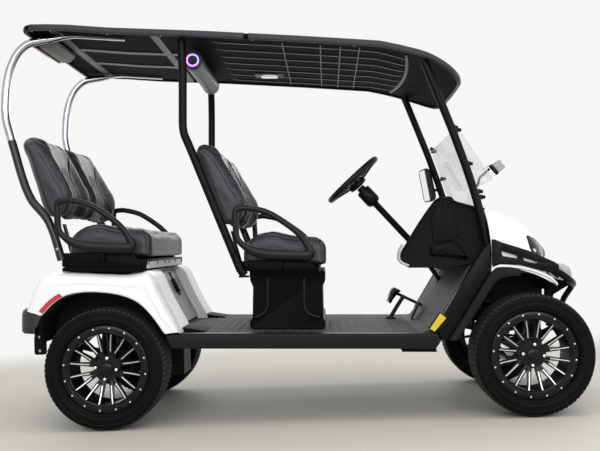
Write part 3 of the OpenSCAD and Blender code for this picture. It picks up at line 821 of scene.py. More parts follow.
def rear_bodywork():
    piece("rear_body_shell", rear_shell(), "white", ["rear_body"], sharp=50)
    piece("reflectors", reflector(), "red")
    piece("rear_bumper_bar", rear_bumper(), "bumper", sharp=45)
    hitch_brackets()
    panel, latch = rear_panel()
    # The access panel's grey finish is painted shade on white body.
    piece("rear_access_panel", panel, "grey_panel", ["rear_panel"])
    piece("panel_latch", latch, "guard")
    piece("rear_lamps", rear_lamps(), "red", ["red_lamps"])


rear_bodywork()


# ---------------------------------------------------------------- front cowl
# Lines along the hood at each distance from its middle, from the dash to the bumper.
HOOD = [(0, [(905, 1066), (970, 1066), (1050, 1042), (1132, 1004), (1200, 963), (1254, 917), (1284, 866),
             (1298, 808), (1316, 735)]),
        (160, [(905, 1066), (968, 1063), (1045, 1037), (1122, 999), (1188, 956), (1240, 909), (1271, 860),
               (1287, 804), (1304, 735)]),
        (320, [(903, 1064), (962, 1048), (1030, 1018), (1098, 981), (1160, 936), (1206, 886), (1238, 838),
               (1258, 788), (1272, 735)]),
        (430, [(899, 1055), (955, 1026), (1015, 999), (1078, 966), (1130, 931), (1163, 885), (1186, 835),
               (1204, 785), (1216, 735)]),
        (500, [(896, 1020), (945, 995), (1000, 970), (1055, 940), (1103, 905), (1134, 865), (1158, 825),
               (1180, 780), (1195, 728)]),
        (545, [(900, 975), (938, 955), (985, 930), (1033, 903), (1076, 873), (1106, 842), (1135, 808),
               (1163, 770), (1185, 718)]),
        (566, [(906, 915), (938, 900), (980, 882), (1022, 862), (1062, 840), (1095, 815), (1130, 785),
               (1163, 750), (1190, 705)]),
        (573, [(911, 850), (940, 840), (980, 828), (1022, 815), (1062, 800), (1100, 780), (1140, 752),
               (1175, 722), (1205, 690)]),
        (573, [(911, 746), (940, 755), (985, 757), (1030, 750), (1075, 738), (1120, 724), (1160, 706),
               (1195, 688), (1226, 673)])]


def spline(points, t):
    """The point at t on the smooth line through points, counting one unit from each to the next."""
    i = min(int(t), len(points) - 2)
    b, c = points[i], points[i + 1]
    a = points[i - 1] if i else b * 2 - c
    d = points[i + 2] if i + 2 < len(points) else c * 2 - b
    return between(a, b, c, d, t - i)


def hood_point(i, j):
    """A point on the right half of the hood: i runs back to front, j from the middle to the side."""
    return spline([spline([Vector((x, -y, z)) for x, z in line], i) for y, line in HOOD], j)


def hood_out(i, j):
    """The hood's outward direction there."""
    e = 0.02
    i0, i1, j0, j1 = max(i - e, 0), min(i + e, 8), max(j - e, 0), min(j + e, 8)
    out = (hood_point(i1, j) - hood_point(i0, j)).cross(hood_point(i, j1) - hood_point(i, j0)).normalized()
    return out if out.z - out.y > 0 else -out


def hood_shell():
    """The hood's skin, with a turned-down lip at the dash."""
    grid = [[hood_point(i / 5, j / 5) for j in range(41)] for i in range(41)]
    build = Build().loft(grid, caps=False, closed=False)
    rim = [hood_point(0, j / 5) for j in range(41)]
    build.loft([rim, [p + Vector((0, 2 if p.y < -300 else 0, -9)) for p in rim]], caps=False, closed=False)
    return build.both()


LAMP = [(3.95, 4.0), (4.5, 4.55), (5.1, 4.95), (5.8, 5.15), (6.5, 5.0), (6.85, 4.3), (6.85, 3.5), (6.5, 2.8),
        (5.9, 2.45), (5.4, 2.7), (4.9, 3.15), (4.4, 3.6)]
LAMP_MIDDLE = Vector((5.5, 3.9))


def lamp_patch(scales, rises, grow=1.0, shift=(0, 0)):
    """A domed patch on the hood, shaped like the headlamp."""
    edge = curve_through(LAMP, 4, closed=True)
    rings = []
    for scale, rise in zip(scales, rises):
        ring = []
        for p in edge:
            q = LAMP_MIDDLE + Vector(shift) + (p - LAMP_MIDDLE) * scale * grow
            ring.append(hood_point(*q) + hood_out(*q) * rise)
        rings.append(ring)
    return Build().loft(rings)


def headlamps():
    rim = lamp_patch([1.06, 1.05, 1.0, 0.95, 0.94], [-3, 2.5, 3.5, 2.5, -3])
    lens = lamp_patch([0.95, 0.94, 0.8, 0.5, 0.2, 0.04], [-3, 2.4, 5.5, 7.5, 8.5, 8.6])
    # The third patch is a painted glint: a small mirror-silver dome on each lens, set off the lens's middle
    # where light catches it.
    bright = lamp_patch([0.5, 0.48, 0.3, 0.1, 0.02], [5.5, 7.2, 7.8, 8.3, 8.4], grow=0.34,
                        shift=(-0.1, 0.75))
    piece("lamp_rims", rim.both(), "guard")
    piece("lamp_lenses", lens.both(), "lens", ["headlamps"])
    piece("headlamp_glint_patches", bright.both(), "lamp_silver")


GUARD_TOP = [(911, 894), (925, 892), (957, 878), (1087, 838), (1164, 804), (1210, 784), (1232, 768)]
GUARD_LOW = [(1232, 706), (1221, 706), (1194, 730), (1148, 742), (1048, 769), (949, 773), (911, 757)]
SLOTS = [[(951, 838), (1031, 814), (1036, 799), (961, 812)],
         [(1057, 806), (1134, 781), (1120, 776), (1063, 790)]]


def plate(name, outline, holes, low, high, soft):
    """A flat plate in the X-Z plane with holes and rounded edges, between low and high in Y."""
    curve = bpy.data.curves.new(name, "CURVE")
    curve.dimensions = "2D"
    curve.fill_mode = "BOTH"
    curve.extrude = (high - low) / 2 - soft
    curve.bevel_depth = soft
    curve.bevel_resolution = 2
    curve.offset = -soft
    for loop in [outline] + holes:
        line = curve.splines.new("POLY")
        line.points.add(len(loop) - 1)
        line.use_cyclic_u = True
        for point, (x, z) in zip(line.points, loop):
            point.co = (x, z, 0, 1)
    holder = placed(name, curve)
    mesh = bpy.data.meshes.new_from_object(holder.evaluated_get(bpy.context.evaluated_depsgraph_get()))
    build = Build().add([(v.co.x, v.co.z + (low + high) / 2, v.co.y) for v in mesh.vertices],
                        [list(face.vertices) for face in mesh.polygons])
    bpy.data.objects.remove(holder)
    bpy.data.meshes.remove(mesh)
    bpy.data.curves.remove(curve)
    return build


def front_guard():
    """The side plates with their two slots, the bar round the nose and its lower braces."""
    arm = plate("guard_arm", fillet(GUARD_TOP + GUARD_LOW, 12), [fillet(s, 5) for s in SLOTS], -593,
                -576, 3)
    arm.tube(curve_through([(1215, -584, 742), (1250, -580, 722), (1286, -556, 700), (1318, -510, 682),
                            (1342, -440, 670), (1362, -350, 664), (1400, -180, 662), (1424, 0, 662)], 5), 17)
    arm.tube(curve_through([(1345, -425, 668), (1338, -395, 640), (1330, -330, 596),
                            (1330, -262, 545)], 5), 15)
    arm.both()
    return arm


def front_bumper():
    """The grey bumper cap over the guard bar, bowed in plan."""
    rings = []
    for k in range(25):
        y = -432 + 864 * k / 24
        front = 1424 - 0.0005 * y * y * (1 + (abs(y) / 600) ** 4)
        ring = [(-84, 752), (-66, 768), (-40, 766), (-14, 751), (-4, 738), (1, 712), (-2, 696), (-12, 688),
                (-60, 700), (-84, 730)]
        rings.append([(front + x, y, z) for x, z in ring])
    cap = Build().loft(rings)
    under = Build()
    for y in (-240, 190):
        under.slab([(1262, 480), (1290, 480), (1300, 606), (1400, 668), (1400, 690), (1262, 690)], 8,
                   y, y + 50, 3)
    return cap, under


def front_cowl():
    piece("hood_shell", hood_shell(), "white", ["hood"], sharp=60)
    headlamps()
    piece("guard_frame", front_guard(), "guard", ["front_guard"])
    cap, under = front_bumper()
    piece("front_bumper_cap", cap, "bumper_grey", ["front_bumper"], sharp=50)
    piece("bumper_mounts", under, "frame")
    lip = Build()
    edge = curve_through([(908, 742), (934, 762), (985, 764), (1049, 757), (1100, 746), (1149, 730),
                          (1195, 706), (1226, 676)], 5)
    lip.loft([[(p.x, -572, p.y + 7), (p.x, -586, p.y + 7), (p.x, -591, p.y + 3), (p.x, -590, p.y - 5),
               (p.x, -584, p.y - 8), (p.x, -560, p.y - 9)] for p in edge])
    piece("fender_lips", lip.both(), "white")


front_cowl()


# ---------------------------------------------------------------- wheel wells
FLARE_OUT = [(1046, 747), (978, 757), (932, 752), (903, 727), (851, 646), (776, 524), (703, 407)]
FLARE_IN = [(1046, 716), (980, 712), (930, 690), (887, 631), (835, 548), (765, 440), (742, 407)]
FRONT_WELL = [(872, 608), (890, 638), (935, 696), (1000, 726), (1070, 730), (1134, 718), (1180, 694),
              (1198, 668), (1202, 644)]
REAR_WELL = [(-1262, 392), (-1272, 440), (-1268, 500), (-1249, 532), (-1200, 582), (-1164, 606),
             (-1090, 628), (-997, 631), (-874, 615), (-812, 591), (-750, 542), (-700, 480), (-672, 440)]


def well(line, wide, deep):
    """A wheel-well lining: an arched, ribbed sheet from wide in to deep, and its inner wall."""
    path = curve_through(line, 5)
    centre = sum(path, Vector((0, 0))) / len(path)
    build = Build()
    rings = []
    for i, p in enumerate(path):
        out = (p - centre).normalized()
        lift = 3 if i % 5 < 2 else 0
        section = [(p + out * 1, -wide), (p - out * (3 - lift), -wide + 4),
                   (p - out * (3 - lift), -deep - 8), (p - out * 10, -deep)]
        rings.append([(q.x, y, q.y) for q, y in section])
    build.loft(rings, caps=False, closed=False)
    wall = [p - (p - centre).normalized() * 10 for p in path]
    build.add([(p.x, -deep, p.y) for p in wall], [list(range(len(wall)))])
    return build.both()


# The flare's section: how far from its outer edge to its inner one, and how far out.
FLARE_SECTION = [(0, -574), (0, -590), (0.06, -595), (0.3, -599), (0.5, -600), (0.8, -601), (1, -598),
                 (1, -592), (0.97, -574)]


def wheel_wells():
    rings = []
    for a, b in zip(curve_through(FLARE_OUT, 5), curve_through(FLARE_IN, 5)):
        rings.append([(a.x * (1 - t) + b.x * t, y, a.y * (1 - t) + b.y * t) for t, y in FLARE_SECTION])
    piece("front_flares", Build().loft(rings).both(), "liner", ["fender_liners"], sharp=50)
    front = well(FRONT_WELL, 570, 262).box((975, -255, 560), (1238, 255, 700), 20, 8)
    piece("front_wells", front, "liner")
    piece("rear_wells", well(REAR_WELL, 598, 352), "liner")


wheel_wells()


# ---------------------------------------------------------------- roof
ROOF_TOP = [(-1385, 1938), (-1348, 1943), (-1191, 1944), (-945, 1926), (-505, 1910), (-16, 1884), (374, 1859),
            (519, 1829), (617, 1799), (690, 1769), (755, 1737), (803, 1711)]
ROOF_HALF, ROOF_DEEP = 590, 28
ROOF_BACK, CORNER_X = -1385, -1335           # the back edge, and where its rounded corners end
NOSE_X, NOSE_LONG = 560, 240                 # where the rounded nose starts, and its length
NOSE_Y, NOSE_WIDE = 330, 260                 # half the nose's flat front, and its corners' width
RIB_DOWN = 21                                # from the roof's top to the underside's ribs


def nose_x(angles):
    return [NOSE_X + NOSE_LONG * math.sin(math.radians(a)) for a in angles]


def roof_height(x):
    return next(a[1] + (b[1] - a[1]) * (x - a[0]) / (b[0] - a[0])
                for a, b in zip(ROOF_TOP, ROOF_TOP[1:]) if x <= b[0] or b is ROOF_TOP[-1])


def roof_edge_line():
    """The roof's outline from above: right half, from the middle of the back to the middle of the nose."""
    corner = [(ROOF_BACK, 0), (ROOF_BACK, -300), (ROOF_BACK, -520), (-1380, -548), (-1365, -572),
              (CORNER_X, -589)]
    sides = [(CORNER_X + (NOSE_X - CORNER_X) * i / 20, -ROOF_HALF) for i in range(1, 21)]
    turns = range(5, 91, 5)
    nose = [(x, -NOSE_Y - NOSE_WIDE * math.cos(math.radians(a))) for x, a in zip(nose_x(turns), turns)]
    return corner + sides + nose + [(803, -200), (805, 0)]


def roof_shell():
    """The roof slab: closed at both ends, with a rounded nose and a hollow underside."""
    stations = ([ROOF_BACK, -1382, -1376, -1366, -1350, CORNER_X]
                + [CORNER_X + (NOSE_X - CORNER_X) * i / 30 for i in range(1, 31)]
                + nose_x(range(8, 85, 8)) + [798, 803])
    rings = []
    for i, x in enumerate(stations):
        if x <= CORNER_X:
            wide = ROOF_HALF - 70 * (1 - math.sin(math.acos(min(1, (CORNER_X - x) / 50.5))))
        elif x <= NOSE_X:
            wide = ROOF_HALF
        else:
            wide = NOSE_Y + NOSE_WIDE * math.sqrt(max(0, 1 - ((min(x, 799) - NOSE_X) / NOSE_LONG) ** 2))
        ends = min(i, len(stations) - 1 - i)
        shut = {0: 0.35, 1: 0.72}.get(ends, 1)
        top, half = roof_height(x), ROOF_DEEP / 2 * shut
        mid = top - ROOF_DEEP / 2
        side = [(0, 0.0), (1.5, 0.5), (5, 0.86), (14, 1.0)]
        right = [(-wide + d, mid + half * h) for d, h in side]
        below = [(-wide + 1.5, mid - half * 0.6), (-wide + 6, mid - half), (-wide + 34, mid - half),
                 (-wide + 40, mid - half + 7 * shut)]
        upper = (right + [(y * wide, mid + half) for y in (-0.6, -0.2, 0.2, 0.6)]
                 + [(-y, z) for y, z in right[::-1]])
        lower = [(-y, z) for y, z in below] + [(y * wide, mid - half + 7 * shut) for y in (0.5, 0, -0.5)]
        rings.append([(x, y, z) for y, z in upper + lower + below[::-1]])
    return Build().loft(rings)


def roof_band():
    """The lighter moulding round the roof's edge, with a seam along each side."""
    line = roof_edge_line()
    build = Build()
    for part in (line[:17], line[17:]):
        if part[0][0] > -1300:
            part = [(part[0][0] - 70, part[0][1])] + part
        rings = []
        for i, (x, y) in enumerate(part):
            ahead = heading(part, i)
            out = Vector((ahead.y, -ahead.x))
            out = out if out.dot(Vector((x + 300, y))) > 0 else -out
            top = roof_height(x)
            rings.append([(x + out.x * d, y + out.y * d, top - h)
                          for d, h in ((-8, 1), (-2, -0.5), (1.5, 2), (3, 8), (3, 20), (1, 26), (-6, 28.5),
                                       (-16, 28.5), (-16, 20))])
        build.loft(rings)
    return build.both()


def rib_section(foot, top):
    """A rib's section as (across, height) pairs, foot wide at the roof and top wide below."""
    return (-foot, 2), (-top, -5), (top, -5), (foot, 2)


def roof_ribs():
    """Lengthwise ribs and cross lines moulded in the underside, ahead of and behind the sound bar."""
    build = Build()
    xs = [-470 + 1010 * i / 24 for i in range(25)]
    for y in (-460, -305, -150, 0, 150, 305, 460):
        rings = []
        for x in xs:
            z = roof_height(x) - RIB_DOWN + (6 if x in (xs[0], xs[-1]) else 0)
            middle_y = y - y * 0.12 * max(0, (x - 200) / 340) ** 2
            rings.append([(x, middle_y + a, z + b) for a, b in rib_section(11, 6)])
        build.loft(rings)
    for y in (-160, 160):
        build.loft([[(x, y + a, roof_height(x) - RIB_DOWN + b) for a, b in rib_section(34, 26)]
                    for x in (-1230 + 560 * i / 12 for i in range(13))])
    for x in (-108, 82, 182, 277):
        z = roof_height(x) - 22
        build.box((x - 3, -520, z - 3), (x + 3, 520, z + 2), 1, 1, "XY")
    rings = []
    for y in range(-500, 501, 50):
        x = 548 - 0.00016 * y * y
        rings.append([(x + a, y, roof_height(x) - RIB_DOWN + b) for a, b in rib_section(10, 5)])
    build.loft(rings)
    for x in (-1235, -735):
        z = roof_height(x) - 22
        rings = [[(x + a, y, z + b) for a, b in ((-24, 3), (-19, -6), (19, -6), (24, 3))]
                 for y in (-560, 0, 560)]
        build.loft(rings)
    return build


def roof_details():
    dome = Build()
    z = roof_height(-220) - 22
    dome.box((-310, 225, z - 5), (-140, 335, z + 3), 12, 2, "XY")
    lamp = Build().box((-275, 245, z - 14), (-175, 315, z), 16, 6, "XY")
    screws = Build()
    for x in (-1330, -1240, -960, -700, -250, 250):
        screws.bolt((x, -572, roof_height(x) - 28), (0, 0, -1), 5, 3)
    housing = Build()
    housing.slab([(-1350, 1874), (-1336, 1862), (-1290, 1866), (-1262, 1892), (-1262, 1916),
                  (-1352, 1916)], 12, -440, -90, 10)
    joint = Build().slab([(-1366, 1866), (-1348, 1860), (-1344, 1916), (-1366, 1916)], 5, -446, -84, 4)
    piece("dome_light_base", dome, "roof_edge")
    piece("dome_light", lamp, "lamp_silver")
    piece("roof_screws", screws.both(), "rod")
    piece("stop_lamp_housing", housing, "housing")
    piece("stop_lamp_joint", joint, "guard")


def roof_pieces():
    piece("roof_shell", roof_shell(), "roof", ["roof"], sharp=40)
    piece("roof_band", roof_band(), "roof_edge", sharp=50)
    # The ribs' lighter finish is a painted highlight on the ridges.
    piece("roof_ribs", roof_ribs(), "roof_rib_painted_highlight", sharp=30)
    roof_details()


roof_pieces()


# ---------------------------------------------------------------- posts, struts and sound bar
POST_Y = 515
FRONT_POST = [(594, -POST_Y, 1778), (731, -POST_Y, 1438), (800, -POST_Y, 1250), (849, -POST_Y, 1096),
              (880, -521, 975), (902, -525, 862)]
MIDDLE_POST = [(-606, -POST_Y, 1886), (-600, -POST_Y, 1700), (-599, -POST_Y, 1460), (-594, -POST_Y, 1418),
               (-563, -POST_Y, 1348), (-312, -POST_Y, 742), (-290, -POST_Y, 716)]
STRUT = [(-1310, -475, 1893), (-1385, -475, 1879), (-1440, -475, 1828), (-1478, -475, 1745),
         (-1495, -475, 1650), (-1499, -475, 1510), (-1446, -478, 1336), (-1412, -482, 1222),
         (-1382, -487, 1141), (-1350, -492, 1080), (-1304, -496, 1033), (-1270, -498, 992),
         (-1244, -498, 934), (-1222, -498, 866), (-1200, -498, 790)]
FOOT = [(703, 408), (776, 524), (851, 646), (903, 727), (909, 733), (909, 886), (865, 838), (820, 768),
        (655, 488), (652, 440), (668, 408)]


def rounded_path(points, radius, steps=6):
    """A line through points with each bend eased."""
    pts = [Vector(p) for p in points]
    out = [pts[0]]
    for a, b, c in zip(pts, pts[1:], pts[2:]):
        reach = min(radius, 0.45 * (b - a).length, 0.45 * (c - b).length)
        out += eased(b + (a - b).normalized() * reach, b, b + (c - b).normalized() * reach, steps)
    return out + [pts[-1]]


def posts():
    """The four roof posts, with the panels that carry the front ones and their bolts."""
    build = Build()
    build.tube(rounded_path(FRONT_POST, 40), 20.5, 24)
    build.tube(rounded_path(MIDDLE_POST, 60), 20.5, 24)
    build.slab(FOOT, 8, -574, -530, 6)
    build.box((-318, -537, 706), (-268, -495, 716), 4, 3, "XY")
    bolts = Build()
    for x, z in ((800, 656), (885, 793)):
        bolts.bolt((x, -574, z), (0, -1, 0), 8, 4)
    for place in ((812, -POST_Y - 20, 1221), (862, -POST_Y - 20, 1060), (-322, -POST_Y - 20, 768)):
        bolts.bolt(place, (0, -1, 0), 6.5, 4)
    piece("post_tubes", build.both(), "post", ["roof_posts"], sharp=45)
    piece("post_bolts", bolts.both(), "motor")


def struts():
    """Bright tubes above, a black sleeve below, a flat bar along the roof, and screws at the roof and the
    seat base.
    """
    path = rounded_path(STRUT, 55, 8)
    cut = next(i for i, p in enumerate(path) if p.z < 1455)
    bright = Build().tube(path[:cut + 1], 20, 24)
    dark = Build().tube(path[cut:], 20.6, 24)
    flat = []
    for x, tall in ((-1308, 20), (-1280, 18), (-1240, 13), (-1200, 8), (-1150, 5), (-1000, 4), (-905, 4),
                    (-900, 2)):
        mid = min(1913, roof_height(x) - 28) - tall
        flat.append([(x, -475 + 20 * math.sin(a), mid + tall * math.cos(a)) for a in circle(20)])
    bright.loft(flat)
    screws = Build()
    for x in (-1322, -1282, -1243):
        screws.bolt((x, -495, 1893), (0, -1, 0), 5, 4)
    screws.bolt((-1216, -517, 846), (0, -1, 0), 7, 5)
    # The chrome's blotchy grey colour carries painted reflections.
    piece("strut_tubes", bright.both(), "chrome", ["rear_struts"], sharp=45)
    piece("strut_sleeves", dark.both(), "strut_black", sharp=45)
    piece("strut_screws", screws.both(), "rod")


def sound_bar():
    """The round bar under the roof, its two clamps, and its lit end rings."""
    centre = (-579, 0, 1820)
    body = Build().lathe([(0.5, -346), (38, -346), (40, -345), (48, -344), (50, -338), (50, -300), (48, -298),
                          (48, 298), (50, 300), (50, 338), (48, 344), (40, 345), (38, 346), (0.5, 346)],
                         centre, "Y", 64)
    for y in (-228, 200):
        body.box((-596, y, 1850), (-562, y + 28, 1885), 4, 3)
    dark, ring = Build(), Build()
    for side in (-1, 1):
        for build, steps, profile in (
                (dark, 48, [(0.5, 346), (0.5, 349), (14, 348), (24, 350.5), (25, 346)]),
                (dark, 48, [(33, 346), (35, 350), (47, 350), (49, 345)]),
                (ring, 64, [(25, 347), (25.5, 351), (29, 352), (33, 351), (33.5, 347)])):
            build.lathe([(r, side * h) for r, h in profile], centre, "Y", steps, caps=False)
    piece("sound_bar_body", body, "speaker", ["sound_bar"])
    piece("sound_bar_caps", dark, "speaker_dark")
    piece("sound_bar_rings", ring, "ring_light")


posts()
struts()
sound_bar()


# ---------------------------------------------------------------- seats
PITCH_BACK = Matrix.Translation((-876, 0, 38))
BACK_FORM = [(-402, 962), (-436, 1022), (-472, 1131), (-529, 1291), (-558, 1369), (-554, 1387), (-532, 1396),
             (-506, 1398), (-464, 1379), (-436, 1339), (-410, 1285), (-376, 1229), (-342, 1171), (-320, 1137),
             (-302, 1088), (-298, 1042), (-308, 992), (-332, 966), (-362, 956)]
SEAT_FORM = [(-300, 762), (-200, 760), (0, 760), (108, 762), (124, 782), (129, 830), (126, 870), (112, 892),
             (84, 901), (40, 902), (-20, 905), (-75, 913), (-154, 928), (-240, 918), (-292, 894), (-318, 858),
             (-320, 800)]
BUCKET_LOW, BUCKET_HIGH = -488, -8
BENCH_HALF, BENCH_FLOOR = 481, 762
SWELL_FRAMES = 20


def ease(edge0, edge1, x):
    u = max(0, min(1, (x - edge0) / (edge1 - edge0)))
    return u * u * (3 - 2 * u)


def bucket_form():
    """One bucket of a backrest: full bolsters at both sides and a hollow between them."""
    rings = []
    for t in (0, 0.02, 0.05, 0.1, 0.16, 0.23, 0.3, 0.4, 0.5, 0.6, 0.7, 0.77, 0.84, 0.9, 0.95, 0.98, 1):
        side = min(t, 1 - t)
        hollow = ease(0.12, 0.34, side) * 46 + (14 if t > 0.5 else 0) * ease(0.5, 0.9, t)
        ring = []
        for x, z in curve_through(BACK_FORM, 3, closed=True):
            front = ease(-0.04, 0.12, (x + 0.4 * (z - 950) + 365) / 400)
            low = 1 - 0.72 * ease(1130, 1330, z)
            drop = 34 * (1 - ease(0, 0.2, side)) * ease(1250, 1380, z)
            ring.append((x - hollow * front * low * 0.93, z - hollow * front * low * 0.2 - drop))
        ring = inset(ring, 7 + 20 * (1 - math.sin(math.pi / 2 * min(1, side / 0.08))))
        y = BUCKET_LOW + 9 + (BUCKET_HIGH - BUCKET_LOW - 18) * t
        rings.append([(x, y, z) for x, z in ring])
    return Build().loft(rings)


def bench_form():
    """The bench cushion: crowned, a little lower where each person sits."""
    rings = []
    for k in range(33):
        t = k / 32
        side = min(t, 1 - t)
        seat = math.sin(math.pi * min(1, side / 0.5)) ** 2
        ring = []
        for x, z in curve_through(SEAT_FORM, 3, closed=True):
            up = ease(850, 900, z)
            ring.append((x, z - up * (16 * seat + 8 * ease(0.42, 0.5, side))))
        ring = inset(ring, 7 + 26 * (1 - math.sin(math.pi / 2 * min(1, side / 0.045))))
        rings.append([(x, -BENCH_HALF + 2 * BENCH_HALF * t, max(z, BENCH_FLOOR)) for x, z in ring])
    return Build().loft(rings)


def settle(obj):
    """The object's mesh with its modifiers applied."""
    mesh = bpy.data.meshes.new_from_object(obj.evaluated_get(bpy.context.evaluated_depsgraph_get()))
    obj.modifiers.clear()
    obj.data = mesh
    return obj


def stuffed(name, build, voxel, limit, floor_z):
    """A form filled by cloth simulation: pressure swells it by at most limit, and its base stays flat."""
    obj = placed(name, mesh_of(name, build, LEVEL, 0.0002, False))
    remesh = obj.modifiers.new("remesh", "REMESH")
    remesh.mode = "VOXEL"
    remesh.voxel_size = voxel
    settle(obj)
    start = [v.co.copy() for v in obj.data.vertices]
    cloth = obj.modifiers.new("cloth", "CLOTH")
    cloth.settings.use_pressure = True
    cloth.settings.uniform_pressure_force = 4
    cloth.settings.effector_weights.gravity = 0
    cloth.settings.quality = 5
    cloth.point_cache.frame_end = SWELL_FRAMES
    for step in range(1, SWELL_FRAMES + 1):
        scene.frame_set(step)
    settle(obj)
    scene.frame_set(1)
    for vertex, first in zip(obj.data.vertices, start):
        move = vertex.co - first
        most = limit * ease(floor_z, floor_z + 0.04, first.z)
        if move.length > most:
            vertex.co = first + move.normalized() * most
    even = obj.modifiers.new("even", "SMOOTH")
    even.factor = 0.5
    even.iterations = 14
    fine = obj.modifiers.new("fine", "SUBSURF")
    fine.levels = 1
    return settle(obj)


def every(line, step):
    """Points about step apart along the line."""
    length = sum((Vector(b) - Vector(a)).length for a, b in zip(line, line[1:]))
    return along(line, max(2, int(length / step)))


def nearest_on(lines):
    """A search tree of points along the lines."""
    marks = [p for line in lines for p in every(line, 4)]
    tree = KDTree(len(marks))
    for i, mark in enumerate(marks):
        tree.insert(mark * MM, i)
    tree.balance()
    return tree


def on_surface(obj, line, step=8):
    """The line's points dropped on to the object's surface, with the surface's outward direction."""
    tree = BVHTree.FromPolygons([v.co for v in obj.data.vertices],
                                [list(p.vertices) for p in obj.data.polygons])
    out = []
    for p in every(line, step):
        place, out_dir, _, _ = tree.find_nearest(p * MM)
        out.append((place / MM, out_dir))
    return out


def sew(obj, lines, depth=0.0045, width=0.006):
    """Presses a seam into the surface along each line."""
    snapped = [[p for p, _ in on_surface(obj, line)] for line in lines]
    tree = nearest_on(snapped)
    pushes = []
    for vertex in obj.data.vertices:
        _, _, gap = tree.find(vertex.co)
        pushes.append(vertex.normal * depth * math.exp(-(gap / width) ** 2) if gap < 4 * width else None)
    for vertex, push in zip(obj.data.vertices, pushes):
        if push:
            vertex.co -= push


def stitch(obj, lines, aside=4.5):
    """Thread beside each seam: short raised stitches on both sides of the line."""
    build = Build()
    for line in lines:
        marks = on_surface(obj, line, 4.5)
        for (a, out), (b, _) in list(zip(marks, marks[1:]))[::2]:
            ahead = (b - a)
            if ahead.length < 1:
                continue
            across = ahead.cross(out).normalized() * aside
            for side in (across, -across):
                low, high = a + side + out * 0.4, b + side + out * 0.4
                w, h = across.normalized() * 0.5, out * 0.8
                build.add([low - w, low + w, low + h, high - w, high + w, high + h],
                          [(0, 2, 1), (3, 4, 5), (0, 1, 4, 3), (1, 2, 5, 4), (2, 0, 3, 5)])
    return build


def back_lines():
    """Seams of the near bucket: the bolsters' edges, which close in under the head panel, and channels."""
    def down(spread, top=1376, low=965):
        return [(-500 + 0.62 * (1384 - z), -248 + spread(z), z) for z in range(top, low, -20)]

    def edge(z):
        return 72 + 118 * ease(1190, 1370, z) + 26 * ease(1130, 960, z)

    seams = [down(edge), down(lambda z: -edge(z))]
    channels = [down(lambda z, k=k: 36 * k, 1225) for k in (-1, 0, 1)]
    side = [(x, -500, z) for x, z in curve_through([(-500, 1370), (-436, 1290), (-372, 1200), (-322, 1110),
                                                    (-300, 1040), (-312, 985), (-350, 955)], 4)]
    return seams + channels, [side]


def seat_lines():
    """The bench's seams: its front and side edges, the channels and the middle."""
    lines = []
    for y in (-470, 470):
        lines.append([(x, y, 940) for x in range(-280, 90, 20)])
        lines.append([(100, y, z) for z in range(895, 775, -20)])
    lines.append([(92, y, 930) for y in range(-470, 471, 20)])
    for middle_y in (-248, 248):
        for shift in (-150, -48, 0, 48, 150):
            lines.append([(x, middle_y + shift, 930) for x in range(-250, 90, 20)])
    lines.append([(x, 0, 930) for x in range(-280, 90, 20)])
    return lines


def place_pad(name, source, matrix, mirror, stands_for):
    """Puts a copy of a finished pad in its place, mirrored to the left side if asked."""
    data = source.data.copy()
    flip = Matrix.Scale(-1, 4, (0, 1, 0)) if mirror else LEVEL
    move = Matrix.Translation(matrix.to_translation() * MM)
    data.transform(LEAN @ move @ flip)
    if mirror:
        data.flip_normals()
    obj = placed(name, data)
    material, slot = FINISHES["vinyl"]
    data.materials.clear()
    data.materials.append(material)
    data.shade_smooth()
    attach(obj, "chassis")
    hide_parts(stands_for)


def seats():
    bucket = stuffed("bucket", bucket_form(), voxel=0.0085, limit=0.016, floor_z=0.90)
    seams, side = back_lines()
    sew(bucket, seams + side)
    back_thread = stitch(bucket, seams[:2] + side)
    bench = stuffed("bench", bench_form(), voxel=0.009, limit=0.018, floor_z=0.764)
    lines = seat_lines()
    sew(bench, lines, 0.0035)
    bench_thread = stitch(bench, lines[4:5])
    back_thread.both()
    for row, matrix in (("front", LEVEL), ("rear", PITCH_BACK)):
        for name, source, mirror, stands_for in (("backrest_pad_right_", bucket, False, "backrests"),
                                                 ("backrest_pad_left_", bucket, True, "backrests"),
                                                 ("cushion_pad_", bench, False, "cushions")):
            place_pad(name + row, source, matrix, mirror, stands_for)
        piece("seat_thread_" + row, Build().put(back_thread, matrix).put(bench_thread, matrix), "thread")
    for source in (bucket, bench):
        bpy.data.objects.remove(source)


seats()


# ---------------------------------------------------------------- seat frames and armrests
ARM_LINE = [(-333, 960), (-336, 1015), (-330, 1038), (-308, 1045), (-262, 1045), (-172, 1022), (-74, 962),
            (-16, 912), (22, 858), (34, 832), (24, 816), (0, 814), (-60, 815), (-165, 819), (-240, 833),
            (-292, 862), (-326, 900)]


def armrest():
    """A closed loop of moulded tube, thicker along its lower pad."""
    line = curve_through([(x, -539, z) for x, z in ARM_LINE], 5, closed=True)
    aside = Vector((0, 1, 0))

    def fuller(part):
        return math.copysign(abs(part) ** 0.8, part)

    rings = []
    for i, here in enumerate(line):
        up = aside.cross((line[(i + 1) % len(line)] - line[i - 1]).normalized())
        low = ease(880, 810, here.z) * ease(60, 20, here.x)
        tall, wide = 15.5 + 10 * low, 15.5 + 1.5 * low
        rings.append([here + up * tall * fuller(math.cos(a)) + aside * wide * fuller(math.sin(a))
                      for a in circle(16)])
    return Build().loft(rings + rings[:1], caps=False)


